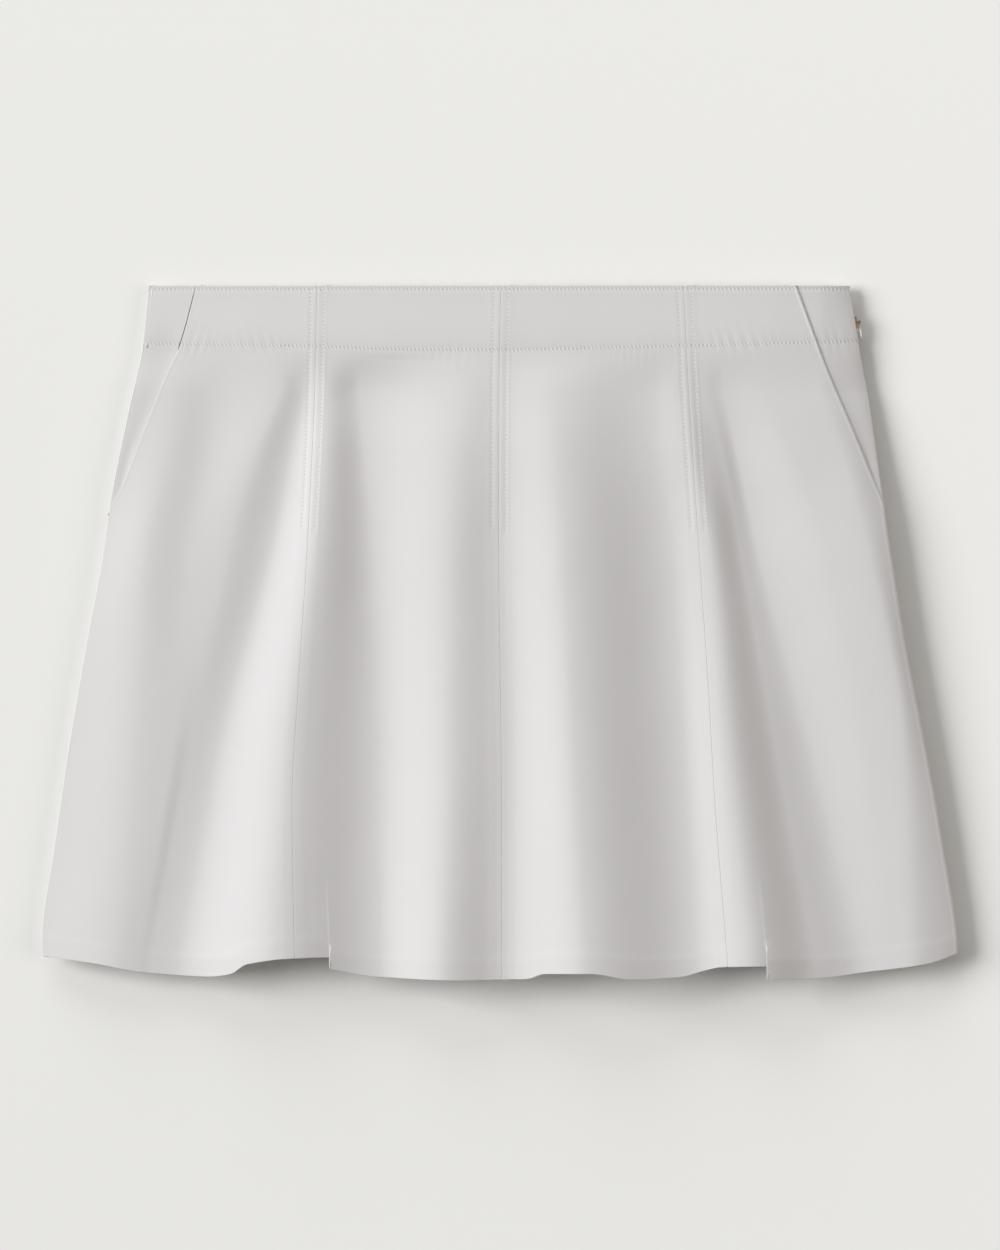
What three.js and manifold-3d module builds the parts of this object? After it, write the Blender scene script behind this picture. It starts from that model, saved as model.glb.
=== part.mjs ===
// A women's sports skort laid flat on its back: a flared skirt of four front gores on a faced waist, slant
// hip pieces, two back panels, inner shorts, and a concealed zip in one side seam.
// Millimetres. The origin is on the surface it lies on, under the middle of its outline. +X points to the
// side with the zip, +Y to the waist, and +Z up, out of the front. "Down" is the distance from the waist edge
// towards the hem, and "across" is the place along X before a fold tips the cloth over.
import * as THREE from 'three';
import { mergeVertices } from 'three/addons/utils/BufferGeometryUtils.js';
import Module from 'manifold-3d';

// Driving dimensions.
const LENGTH = 405.4; // waist edge to the lowest point of the hem
const TOP = LENGTH / 2; // height along Y of the waist edge
const WALL = 1.2; // thickness of each layer of cloth
const SEAM_GAP = 0.3; // clearance between pieces that meet
const FACING_DEPTH = 37; // stitched depth of the faced waist
const HEM_SIDE = 396; // how far down the side seams end
const BACK_HEM = 388; // the back panels end just above the front hem
const SEAM_HEIGHT = 6; // height of the side seams above the surface
const FRONT_ROUND = 12; // how far in from the side seam the front turns over
const BACK_ROUND = 24; // how far in from the side seam the back lifts off the surface
const WAIST_HEIGHT = 8.5; // height of the front at the waist, beside the hips
const WAIST_DOME = 3; // extra height in the middle of the waist
const POCKET_STEP = 0.9; // the hip pieces lie this much lower, under the pocket edges
const POCKET_GAP = 0.8; // clearance along the pocket edges
const POCKET_END = { left: 126, right: 122 }; // how far down the hip pieces run out

// Half widths of the outline, left and right of the middle.
const OUTLINE = [
  { down: 0, left: 205.3, right: 204.2 },
  { down: 37, left: 208.8, right: 209.9 },
  { down: 73, left: 216.5, right: 216.2 },
  { down: 121, left: 226.4, right: 222.9 },
  { down: 161, left: 232.2, right: 228.7 },
  { down: 208, left: 241.0, right: 236.3 },
  { down: 278, left: 252.7, right: 249.8 },
  { down: 330, left: 260.3, right: 258.9 },
  { down: 383, left: 267.3, right: 266.8 },
  { down: 396, left: 266.6, right: 267.3 },
];

// Where the three front seams run across the skirt.
const SEAMS = [
  { down: 0, left: -107.6, centre: 0, right: 107.1 },
  { down: 59, left: -108.8, centre: -1.0, right: 110.0 },
  { down: 143, left: -112.3, centre: -1.2, right: 115.2 },
  { down: 237, left: -118.2, centre: 0, right: 121.7 },
  { down: 301, left: -121.4, centre: 0.6, right: 125.2 },
  { down: 396, left: -119.9, centre: 0.6, right: 132.5 },
];

// The slanted pocket edges, from the waist to the side seams. The last row carries them on past the outline.
const POCKETS = [
  { down: 0, left: -177.0, right: 172.5 },
  { down: 37, left: -187.3, right: 186.0 },
  { down: 50, left: -193.6, right: 190.9 },
  { down: 85, left: -207.7, right: 205.9 },
  { down: 121, left: -222.3, right: 220.9 },
  { down: 131, left: -228.2, right: 225.5 },
  { down: 406, left: -350, right: 350 },
];

// The hem line: it rises where a gore lifts off the surface.
const HEM = [
  { across: -266.4, down: 392.0 },
  { across: -208, down: 401.9 },
  { across: -170, down: 403.7 },
  { across: -157, down: 402.0 },
  { across: -147, down: 396.1 },
  { across: -119, down: 392.5 },
  { across: -103, down: 392.2 },
  { across: -95, down: 398.8 },
  { across: -72, down: 403.7 },
  { across: -20, down: 405.4 },
  { across: 15, down: 404.8 },
  { across: 26, down: 401.6 },
  { across: 53, down: 401.3 },
  { across: 77, down: 404.8 },
  { across: 104, down: 403.7 },
  { across: 121, down: 399.3 },
  { across: 130, down: 397.5 },
  { across: 151, down: 397.2 },
  { across: 159, down: 404.9 },
  { across: 180, down: 404.8 },
  { across: 217, down: 400.7 },
  { across: 250, down: 396.1 },
  { across: 267.3, down: 390.2 },
];

// Crests and troughs of the front, left to right: where each one lies and how high the cloth is along it,
// at five distances down from the waist edge.
const FOLD_STATIONS = [63, 97, 149, 266, 393];
const FOLDS = [
  { name: 'left edge', across: [-190, -194, -204, -210, -224], height: [11, 11.4, 11.8, 12.4, 13.6] },
  { name: 'left dip', across: [-166, -170, -180, -190, -210], height: [9.9, 9.8, 10.2, 11.4, 12.4] },
  { name: 'left shoulder', across: [-128, -142, -158, -180, -204], height: [11.3, 11.6, 10.6, 10, 11.4] },
  { name: 'left trough', across: [-114, -122, -133, -164, -188], height: [9.7, 9.2, 7.9, 8.6, 10.4] },
  { name: 'left crest', across: [-101, -102.5, -107, -124, -131], height: [11.6, 13.6, 15.2, 19.6, 26] },
  { name: 'inner left trough', across: [-82, -79, -75, -71, -70], height: [8.8, 8.8, 8.4, 9.8, 14] },
  { name: 'middle left crest', across: [-18, -24, -27, -27, -32], height: [15.6, 17.2, 17.6, 20.4, 24.6] },
  { name: 'middle trough', across: [-2, 0, 1, 5, 4], height: [15, 15.4, 14.2, 16.2, 18] },
  { name: 'middle right crest', across: [32, 33, 37, 43, 50], height: [17.6, 19.8, 21, 26.4, 31.4] },
  { name: 'inner right trough', across: [90, 91, 99, 107, 114], height: [12.6, 11.6, 9.4, 13.6, 18.6] },
  { name: 'right crest', across: [102, 106, 120, 132, 146], height: [12.8, 12.6, 12, 18.4, 25] },
  { name: 'right slope', across: [119, 129, 139, 160, 183], height: [11.4, 10, 8.2, 10.6, 14.4] },
  { name: 'right trough', across: [130, 138, 149, 181, 211], height: [10.4, 8.4, 6.8, 7.6, 10.4] },
  { name: 'right shoulder', across: [153, 170, 190, 213, 231], height: [11.6, 11.8, 11, 10.4, 11.8] },
  { name: 'right edge', across: [186, 198, 208, 228, 242], height: [11, 11.6, 11.6, 11.2, 12.4] },
];

// How high the front is beside its outline, at the same distances down.
const EDGES = {
  left: [9.5, 9, 8.5, 8.5, 9],
  right: [10, 9.5, 9, 8.5, 9],
};

// Two folds near the hem tip over sideways: the cloth on the left side lies over the cloth on the right side.
const TIPPED_FOLDS = [
  { acrossTop: -102.5, acrossHem: -98.9, start: 345, full: 388 },
  { acrossTop: 148.0, acrossHem: 155.0, start: 345, full: 388 },
];
const TIP_WIDTH = 6; // half width of the strip that tips over
const TIP_SHIFT = 6.6; // how far its two edges slide past each other
const TIP_DROP = 5; // how far its two edges part in height

// The inner shorts: half of the outline, waist to leg opening, and how high each layer lies.
const SHORTS = {
  waistDown: 6,
  crotchDown: 265,
  legDown: 343,
  waistHalf: 184,
  hipDown: 110,
  hipHalf: 196,
  thighDown: 180,
  legHalf: 205,
  legGap: 22,
};
const SHORTS_BACK_HEIGHT = WALL + SEAM_GAP;
const SHORTS_FRONT_HEIGHT = SHORTS_BACK_HEIGHT + WALL + SEAM_GAP;

// The concealed zip in the side seam.
const ZIP_DOWN = 22; // the slider's distance from the waist edge
const ZIP_TAPE = { from: 4, to: 160, inset: 3.0, width: 9, height: 5.1, thickness: 0.8 };
const SLIDER = { length: 7, width: 4.6, plate: 0.7, cheek: 0.7, cheekHalf: 0.85 };
const PULL = { length: 10, rootWidth: 1.8, tipWidth: 3.6, thickness: 0.8, eyeRadius: 0.95, holeRadius: 0.65 };
const PIN_RADIUS = 0.35;
const PIN_OFFSET = 2.15; // from the side seam out to the pin

const lerp = THREE.MathUtils.lerp;
const clamp = THREE.MathUtils.clamp;
const smooth = (value, low, high) => THREE.MathUtils.smoothstep(value, low, high);

// A smooth curve through points that never overshoots: it is level at every crest and trough.
function curveThrough(places, values) {
  const last = places.length - 1;
  const slopes = places.slice(1).map((place, i) => (values[i + 1] - values[i]) / (place - places[i]));
  const tangents = places.map((_, i) => {
    if (i === 0) return slopes[0];
    if (i === last) return slopes[last - 1];
    if (slopes[i - 1] * slopes[i] <= 0) return 0;
    return (2 * slopes[i - 1] * slopes[i]) / (slopes[i - 1] + slopes[i]);
  });
  return (at) => {
    const place = clamp(at, places[0], places[last]);
    let i = 0;
    while (i < last - 1 && place > places[i + 1]) i += 1;
    const span = places[i + 1] - places[i];
    const t = (place - places[i]) / span;
    const ease = t * t * (3 - 2 * t);
    const bends = span * t * (1 - t) * ((1 - t) * tangents[i] - t * tangents[i + 1]);
    return lerp(values[i], values[i + 1], ease) + bends;
  };
}

const column = (table, key) => table.map((row) => row[key]);
const curveOf = (table, along, key) => curveThrough(column(table, along), column(table, key));

const outlineLeft = curveOf(OUTLINE, 'down', 'left');
const outlineRight = curveOf(OUTLINE, 'down', 'right');
const seamLeft = curveOf(SEAMS, 'down', 'left');
const seamCentre = curveOf(SEAMS, 'down', 'centre');
const seamRight = curveOf(SEAMS, 'down', 'right');
const pocketLeft = curveOf(POCKETS, 'down', 'left');
const pocketRight = curveOf(POCKETS, 'down', 'right');
const hemDown = curveOf(HEM, 'across', 'down');

// Heights down the skirt: level above the facing's stitches, then as the table says.
function heightCurve(waist, heights) {
  return curveThrough([0, FACING_DEPTH, ...FOLD_STATIONS], [waist, waist, ...heights]);
}

// Each fold's place and height as curves down the skirt. Above the facing's stitches the front is a low dome.
const foldCurves = FOLDS.map((fold) => {
  const waist = WAIST_HEIGHT + WAIST_DOME * (1 - (fold.across[0] / OUTLINE[0].left) ** 2);
  return { across: curveThrough(FOLD_STATIONS, fold.across), height: heightCurve(waist, fold.height) };
});
const edgeHeight = {
  left: heightCurve(WAIST_HEIGHT, EDGES.left),
  right: heightCurve(WAIST_HEIGHT, EDGES.right),
};

// Height of the front over the surface, before its edges turn over to the side seams.
function foldHeight(down) {
  const places = foldCurves.map((fold) => fold.across(down));
  const heights = foldCurves.map((fold) => fold.height(down));
  return curveThrough(
    [-outlineLeft(down), ...places, outlineRight(down)],
    [edgeHeight.left(down), ...heights, edgeHeight.right(down)],
  );
}

// A quarter ellipse that rises from 0 at the side seam to 1 at the given distance in from it.
function turnOver(inset, reach) {
  const t = clamp(1 - inset / reach, 0, 1);
  return Math.sqrt(1 - t * t);
}

// The strip that tips over: the left edge slides right and up, and the right edge slides left and down.
function tip(across, down) {
  const shift = new THREE.Vector2();
  for (const fold of TIPPED_FOLDS) {
    const middle = lerp(fold.acrossTop, fold.acrossHem, smooth(down, fold.start, HEM_SIDE));
    const q = (across - middle) / TIP_WIDTH;
    const amount = smooth(down, fold.start, fold.full) * -q * Math.exp((1 - q * q) / 2);
    shift.x += TIP_SHIFT * amount;
    shift.y += TIP_DROP * amount;
  }
  return shift;
}

const insetAt = (across, down) => Math.min(across + outlineLeft(down), outlineRight(down) - across);

// A point on the outside of the front.
function frontPoint(across, down) {
  const shift = tip(across, down);
  const edge = SEAM_HEIGHT + SEAM_GAP / 2;
  const height = foldHeight(down)(across);
  const turned = lerp(edge, height, turnOver(insetAt(across, down), FRONT_ROUND));
  return new THREE.Vector3(across + shift.x, TOP - down, turned + shift.y);
}

// A hip piece lies lower than the front where the pocket edge covers it, and level with it at the side seam.
function hipPoint(across, down) {
  const point = frontPoint(across, down);
  point.z -= POCKET_STEP * smooth(insetAt(across, down), 0, 10);
  return point;
}

// A point on the outside of the back: flat on the surface, and lifted at the side seams.
function backPoint(across, down) {
  const edge = SEAM_HEIGHT - SEAM_GAP / 2;
  return new THREE.Vector3(across, TOP - down, edge * (1 - turnOver(insetAt(across, down), BACK_ROUND)));
}

// The outward direction of a surface, from two short steps along it that stay inside the outline.
function outward(surface, across, down, facing) {
  const step = 0.004;
  const low = Math.max(across - step, -outlineLeft(down));
  const high = Math.min(across + step, outlineRight(down));
  const alongX = surface(high, down).sub(surface(low, down));
  const alongY = surface(across, down - step).sub(surface(across, down + step));
  return alongX.cross(alongY).normalize().multiplyScalar(facing);
}

// Places from 0 to 1 in a number of steps, closer together near each crowded place.
function spacing(steps, crowds = []) {
  const samples = 400;
  const bump = (t, { at, width, gain }) => gain * Math.exp(-(((t - at) / width) ** 2));
  const density = (t) => crowds.reduce((sum, crowd) => sum + bump(t, crowd), 1);
  const totals = [0];
  for (let i = 0; i < samples; i += 1) totals.push(totals[i] + density((i + 0.5) / samples));
  const reached = curveThrough(totals, totals.map((_, i) => i / samples));
  return Array.from({ length: steps + 1 }, (_, i) => reached((i / steps) * totals[samples]));
}

// A closed wall from two matching grids of points, the outside and the inside, with a rim round the edge.
function wallGeometry(outside, inside, flip) {
  const rows = outside.length;
  const width = outside[0].length;
  const points = [...outside.flat(), ...inside.flat()];
  const offset = rows * width;
  const triangles = [];
  const quad = (a, b, c, d) => triangles.push(...(flip ? [a, c, b, a, d, c] : [a, b, c, a, c, d]));
  const at = (row, col) => row * width + col;
  for (let row = 0; row < rows - 1; row += 1) {
    for (let col = 0; col < width - 1; col += 1) {
      const corners = [at(row + 1, col), at(row + 1, col + 1), at(row, col + 1), at(row, col)];
      quad(...corners);
      quad(...corners.map((index) => index + offset).reverse());
    }
  }
  const rim = [];
  for (let col = 0; col < width - 1; col += 1) rim.push(at(0, col));
  for (let row = 0; row < rows - 1; row += 1) rim.push(at(row, width - 1));
  for (let col = width - 1; col > 0; col -= 1) rim.push(at(rows - 1, col));
  for (let row = rows - 1; row > 0; row -= 1) rim.push(at(row, 0));
  rim.forEach((a, i) => {
    const b = rim[(i + 1) % rim.length];
    quad(a, b, b + offset, a + offset);
  });
  const geometry = new THREE.BufferGeometry().setFromPoints(points);
  geometry.setIndex(triangles);
  return geometry;
}

// One cut piece of cloth between two edges that run down the skirt, ending at a hem.
function clothPiece({ surface, facing, from, to, hem, columns, rows }) {
  const outside = rows.map((v) =>
    columns.map((t) => {
      const end = hem(lerp(from(HEM_SIDE), to(HEM_SIDE), t));
      const down = v * end;
      const across = lerp(from(down), to(down), t);
      return { across, down, point: surface(across, down) };
    }),
  );
  const inside = outside.map((row) =>
    row.map(({ across, down, point }) =>
      point.clone().addScaledVector(outward(surface, across, down, facing), -WALL),
    ),
  );
  return wallGeometry(outside.map((row) => row.map(({ point }) => point)), inside, facing < 0);
}

const wasm = await Module();
wasm.setup();

// A closed mesh as a solid that can be joined and cut, and back again.
function toSolid(geometry) {
  const bare = geometry.clone();
  bare.deleteAttribute('normal');
  bare.deleteAttribute('uv');
  const merged = mergeVertices(bare);
  const vertProperties = merged.attributes.position.array;
  const triVerts = new Uint32Array(merged.index.array);
  const mesh = new wasm.Mesh({ numProp: 3, vertProperties, triVerts });
  return new wasm.Manifold(mesh);
}

function toGeometry(solid) {
  const { vertProperties, triVerts } = solid.getMesh();
  const geometry = new THREE.BufferGeometry();
  geometry.setAttribute('position', new THREE.BufferAttribute(vertProperties, 3));
  geometry.setIndex(new THREE.BufferAttribute(triVerts, 1));
  return geometry;
}

const materials = {
  shell: new THREE.MeshStandardMaterial({ color: 0xd8d5d3, roughness: 0.85, metalness: 0 }),
  shorts: new THREE.MeshStandardMaterial({ color: 0xd2cfcd, roughness: 0.9, metalness: 0 }),
  tape: new THREE.MeshStandardMaterial({ color: 0xcfccc9, roughness: 0.9, metalness: 0 }),
  metal: new THREE.MeshStandardMaterial({ color: 0x9c8468, roughness: 0.4, metalness: 0.8 }),
  pull: new THREE.MeshStandardMaterial({ color: 0xdad7d4, roughness: 0.4, metalness: 0 }),
};

const group = new THREE.Group();

function addMesh(name, geometry, material) {
  const mesh = new THREE.Mesh(geometry, material);
  mesh.name = name;
  group.add(mesh);
  return mesh;
}

const half = SEAM_GAP / 2;
const shifted = (edge, by) => (down) => edge(down) + by;
const leftSide = (down) => -outlineLeft(down);
const rightSide = outlineRight;
const frontRows = spacing(19, [{ at: 1, width: 0.07, gain: 1.6 }]);

// The four front gores and the two hip pieces.
function addFront() {
  const nearEdge = { width: 0.06, gain: 5 };
  const gores = [
    {
      name: 'front_side_left',
      from: (down) => Math.max(pocketLeft(down) + POCKET_GAP / 2, leftSide(down)),
      to: shifted(seamLeft, -half),
      columns: spacing(15, [{ at: 0, ...nearEdge }]),
    },
    {
      name: 'front_center_left',
      from: shifted(seamLeft, half),
      to: shifted(seamCentre, -half),
      columns: spacing(21, [{ at: 0.18, width: 0.07, gain: 6 }]),
    },
    {
      name: 'front_center_right',
      from: shifted(seamCentre, half),
      to: shifted(seamRight, -half),
      columns: spacing(13),
    },
    {
      name: 'front_side_right',
      from: shifted(seamRight, half),
      to: (down) => Math.min(pocketRight(down) - POCKET_GAP / 2, rightSide(down)),
      columns: spacing(26, [{ at: 0.165, width: 0.06, gain: 7 }, { at: 1, ...nearEdge }]),
    },
  ];
  for (const { name, from, to, columns } of gores) {
    const piece = { surface: frontPoint, facing: 1, from, to, hem: hemDown, columns, rows: frontRows };
    addMesh(name, clothPiece(piece), materials.shell);
  }
  const hips = [
    {
      name: 'hip_left',
      from: leftSide,
      to: shifted(pocketLeft, -POCKET_GAP / 2),
      end: POCKET_END.left,
      columns: spacing(6, [{ at: 0, width: 0.2, gain: 2 }]),
    },
    {
      name: 'hip_right',
      from: shifted(pocketRight, POCKET_GAP / 2),
      to: rightSide,
      end: POCKET_END.right,
      columns: spacing(6, [{ at: 1, width: 0.2, gain: 2 }]),
    },
  ];
  for (const { name, from, to, end, columns } of hips) {
    const piece = { surface: hipPoint, facing: 1, from, to, hem: () => end, columns, rows: spacing(7) };
    addMesh(name, clothPiece(piece), materials.shell);
  }
}

// The two back panels, with a seam down the middle.
function addBack() {
  const hem = () => BACK_HEM;
  const panels = [
    { name: 'back_left', from: leftSide, to: () => -half, sideEdge: 0 },
    { name: 'back_right', from: () => half, to: rightSide, sideEdge: 1 },
  ];
  for (const { name, from, to, sideEdge } of panels) {
    const columns = spacing(10, [{ at: sideEdge, width: 0.06, gain: 9 }]);
    const piece = { surface: backPoint, facing: -1, from, to, hem, columns, rows: spacing(9) };
    addMesh(name, clothPiece(piece), materials.shell);
  }
}

// One quarter of the inner shorts: a flat panel from the waist to the leg opening, on one side of the middle.
function shortsPanel(side) {
  const { waistDown, crotchDown, legDown, waistHalf, hipDown, hipHalf, thighDown, legHalf, legGap } = SHORTS;
  const at = (across, down) => [side * across, TOP - down];
  const outline = new THREE.Shape();
  outline.moveTo(...at(half, waistDown));
  outline.lineTo(...at(half, crotchDown));
  outline.quadraticCurveTo(...at(legGap * 0.7, crotchDown + 8), ...at(legGap, legDown));
  outline.lineTo(...at(legHalf, legDown - 4));
  outline.quadraticCurveTo(...at(legHalf - 1, thighDown), ...at(hipHalf, hipDown));
  outline.lineTo(...at(waistHalf, waistDown));
  return new THREE.ExtrudeGeometry(outline, { depth: WALL, bevelEnabled: false, curveSegments: 6 });
}

function addShorts() {
  const layers = { shorts_back: SHORTS_BACK_HEIGHT, shorts_front: SHORTS_FRONT_HEIGHT };
  for (const [layer, height] of Object.entries(layers)) {
    for (const [name, side] of [['left', -1], ['right', 1]]) {
      addMesh(`${layer}_${name}`, shortsPanel(side), materials.shorts).position.z = height;
    }
  }
}

// The zip tape turns inwards from the side seam, from the waist to the foot of the zip.
function addZipTape() {
  const rows = spacing(8).map((t) => lerp(ZIP_TAPE.from, ZIP_TAPE.to, t));
  const layer = (height) =>
    rows.map((down) =>
      [ZIP_TAPE.inset + ZIP_TAPE.width, ZIP_TAPE.inset].map(
        (inset) => new THREE.Vector3(outlineRight(down) - inset, TOP - down, height),
      ),
    );
  const tape = wallGeometry(layer(ZIP_TAPE.height + ZIP_TAPE.thickness), layer(ZIP_TAPE.height), false);
  addMesh('zip_tape', tape, materials.tape);
}

// The slider and its pull are drawn beside the Y axis, with the pin at the origin, and turned to lie along
// the side seam.
function zipFrame() {
  const step = 4;
  const lean = Math.atan2(outlineRight(ZIP_DOWN + step) - outlineRight(ZIP_DOWN - step), 2 * step);
  const frame = new THREE.Group();
  frame.position.set(outlineRight(ZIP_DOWN) + PIN_OFFSET, TOP - ZIP_DOWN, SEAM_HEIGHT);
  frame.rotation.z = lean;
  group.add(frame);
  return frame;
}

function extruded(outline, depth) {
  const geometry = new THREE.ExtrudeGeometry(outline, { depth, bevelEnabled: false, curveSegments: 8 });
  return geometry.translate(0, 0, -depth / 2);
}

function rectangle(x0, y0, x1, y1) {
  const outline = new THREE.Shape();
  outline.moveTo(x0, y0);
  outline.lineTo(x1, y0);
  outline.lineTo(x1, y1);
  outline.lineTo(x0, y1);
  return outline;
}

// The slider: a plate along the seam with two cheeks that hold the pull's pin.
function addZip() {
  const frame = zipFrame();
  const plateX = -PIN_OFFSET + SEAM_GAP;
  const plateFace = plateX + SLIDER.plate;
  const plateHalf = SLIDER.length / 2;
  const plate = rectangle(plateX, -plateHalf, plateFace, plateHalf);
  const cheek = rectangle(plateX, -SLIDER.cheekHalf, SLIDER.cheekHalf, SLIDER.cheekHalf);
  const pin = new THREE.Shape().absarc(0, 0, PIN_RADIUS, 0, Math.PI * 2);
  const cheekZ = SLIDER.width / 2 - SLIDER.cheek / 2;
  const solids = [
    extruded(plate, SLIDER.width),
    extruded(cheek, SLIDER.cheek).translate(0, 0, cheekZ),
    extruded(cheek, SLIDER.cheek).translate(0, 0, -cheekZ),
    extruded(pin, SLIDER.width - SLIDER.cheek),
  ].map(toSolid);
  const slider = solids.reduce((whole, solid) => whole.add(solid));
  const sliderMesh = new THREE.Mesh(toGeometry(slider), materials.metal);
  sliderMesh.name = 'zip_slider';
  const pullMesh = new THREE.Mesh(pullGeometry(), materials.pull);
  pullMesh.name = 'zip_pull';
  frame.add(sliderMesh, pullMesh);
}

// The pull: an eye round the pin and a flat tab that widens to a rounded tip.
function pullGeometry() {
  const room = SLIDER.width - 2 * SLIDER.cheek - 2 * SEAM_GAP;
  const eyeOutline = new THREE.Shape().absarc(0, 0, PULL.eyeRadius, 0, Math.PI * 2);
  const hole = new THREE.Shape().absarc(0, 0, PULL.holeRadius, 0, Math.PI * 2);
  const tab = new THREE.Shape();
  const root = PULL.rootWidth / 2;
  const tipHalf = PULL.tipWidth / 2;
  tab.moveTo(-root, 0);
  tab.lineTo(-tipHalf, -PULL.length + tipHalf);
  tab.absarc(0, -PULL.length + tipHalf, tipHalf, Math.PI, Math.PI * 2);
  tab.lineTo(root, 0);
  const flat = extruded(tab, PULL.thickness).rotateY(Math.PI / 2);
  const whole = toSolid(extruded(eyeOutline, room)).add(toSolid(flat));
  return toGeometry(whole.subtract(toSolid(extruded(hole, SLIDER.width * 2))));
}

addFront();
addBack();
addShorts();
addZipTape();
addZip();

export default group;
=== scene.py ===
"""Looks of a women's flared sports skort laid flat: sewn cloth, stitches, zip, floor and light.

Lengths in the tables are millimetres, and meshes are metres. "Down" is the distance from the waist edge
towards the hem, and "across" is the place along X before a fold tips the cloth over.
"""

import math

import bpy
import numpy as np
from bpy.props import FloatProperty, FloatVectorProperty, PointerProperty
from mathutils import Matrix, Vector


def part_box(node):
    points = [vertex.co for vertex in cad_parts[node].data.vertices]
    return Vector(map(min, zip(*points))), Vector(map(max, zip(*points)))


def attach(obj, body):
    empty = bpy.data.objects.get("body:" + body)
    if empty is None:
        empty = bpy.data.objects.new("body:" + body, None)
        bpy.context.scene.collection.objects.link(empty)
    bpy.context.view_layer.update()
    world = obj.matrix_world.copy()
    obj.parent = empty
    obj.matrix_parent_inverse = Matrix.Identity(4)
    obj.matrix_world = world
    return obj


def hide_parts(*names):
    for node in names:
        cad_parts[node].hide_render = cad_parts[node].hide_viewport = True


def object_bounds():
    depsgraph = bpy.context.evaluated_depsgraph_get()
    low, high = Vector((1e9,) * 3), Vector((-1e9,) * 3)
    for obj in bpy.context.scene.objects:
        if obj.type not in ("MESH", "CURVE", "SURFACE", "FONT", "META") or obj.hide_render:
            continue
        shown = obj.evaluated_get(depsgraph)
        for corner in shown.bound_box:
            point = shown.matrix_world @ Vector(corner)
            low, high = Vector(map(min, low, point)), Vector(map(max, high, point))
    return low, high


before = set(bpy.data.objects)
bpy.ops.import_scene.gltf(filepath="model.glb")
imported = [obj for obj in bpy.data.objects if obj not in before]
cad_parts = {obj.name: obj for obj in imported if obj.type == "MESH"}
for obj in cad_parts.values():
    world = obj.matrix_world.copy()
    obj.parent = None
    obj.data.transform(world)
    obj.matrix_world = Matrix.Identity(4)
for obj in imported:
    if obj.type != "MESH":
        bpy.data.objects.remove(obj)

bl_info = {
    "name": "Flared Skort",
    "version": (1, 0, 0),
    "blender": (4, 5, 0),
    "location": "View3D > Sidebar > Skort",
    "description": "Builds the cloth, stitches, zip finish and studio of a flared sports skort",
    "category": "Object",
}

MM = 0.001
CAD_LOW, CAD_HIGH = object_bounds()
TOP = CAD_HIGH.y / MM  # height along Y of the waist edge


def table(columns, *rows):
    """A short table as one array for each named column."""
    return {name: np.array(values, float) for name, values in zip(columns.split(), zip(*rows))}


# ---- The pattern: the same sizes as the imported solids.

HEM_SIDE = 396  # how far down the side seams end
BACK_HEM = 388  # the back panels end just above the front hem
SEAM_DROP = 0.4  # the side seams lie this much below the front's own height there
WAIST_DIP, WAIST_DIP_END = 1.6, 34  # the waist edge lies lower than the rest of the facing, and ends here
HEM_LIFT, HEM_LIFT_FROM, HEM_LIFT_TO = 3.5, 40, 170  # the loose cloth stands this much higher than the solids
RIGHT_LIFT = 2.2  # and this much higher again on the zip's side
SEAM_SHARE = 0.01  # half of the gap left between two pieces at a seam
FRONT_ROUND = 0.35  # how far in from the side seam the front turns over
RIGHT_ROLL, RIGHT_ROLL_REACH = 1.3, 5.0  # the front rolls down this much at the right side seam
BACK_ROUND = 30  # how far in from the side seam the back lifts off the surface
FACING_DEPTH = 37  # stitched depth of the faced waist
WAIST_HEIGHT = 8.5  # height of the front at the waist, beside the hips
WAIST_DOME = 3  # extra height in the middle of the waist
WAIST_TILT = 5  # the waist also rises this much towards the right pocket edge, by the shares in this table
WAIST_TILT_SHARES = {"across": (-205, 165, 186, 204), "share": (0, 1, 0.85, 0.06)}
SHORTS_LAYER = {"back": 1.62, "front": 4.08}  # height of the outside of each layer of the inner shorts

# Half widths of the outline, left and right of the middle.
OUTLINE = table(
    "down left right",
    (0, 205.3, 204.2),
    (37, 208.8, 209.9),
    (73, 216.5, 216.2),
    (121, 226.4, 222.9),
    (161, 232.2, 228.7),
    (208, 241.0, 236.3),
    (278, 252.7, 249.8),
    (330, 260.3, 258.9),
    (383, 267.3, 266.8),
    (396, 266.6, 267.3),
)

# Where the three front seams run across the skirt.
SEAMS = table(
    "down left centre right",
    (0, -106.8, 0.5, 106.9),
    (59, -108.0, -0.5, 109.8),
    (143, -111.6, -0.8, 115.1),
    (237, -117.4, 0.3, 121.4),
    (301, -120.8, 0.9, 124.9),
    (396, -119.3, 0.9, 132.3),
)

# The slanted pocket edges, from the waist to the side seams. The last row carries them on past the outline.
POCKETS = table(
    "down left right",
    (0, -177.0, 172.5),
    (37, -187.3, 186.0),
    (50, -193.6, 190.9),
    (85, -207.7, 205.9),
    (121, -222.3, 220.9),
    (131, -228.2, 225.5),
    (406, -350, 350),
)

# The hem line: it rises where a gore lifts off the surface.
HEM = table(
    "across down",
    (-266.4, 392.0),
    (-236, 396.2),
    (-208, 401.2),
    (-170, 403.7),
    (-157, 402.0),
    (-147, 396.1),
    (-119, 392.5),
    (-103, 392.2),
    (-95, 398.8),
    (-72, 403.7),
    (-20, 405.4),
    (15, 404.8),
    (26, 401.6),
    (53, 401.3),
    (77, 404.8),
    (104, 403.7),
    (121, 399.3),
    (130, 397.5),
    (151, 397.2),
    (159, 404.9),
    (180, 404.8),
    (217, 400.7),
    (250, 396.1),
    (267.3, 390.2),
)

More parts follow.
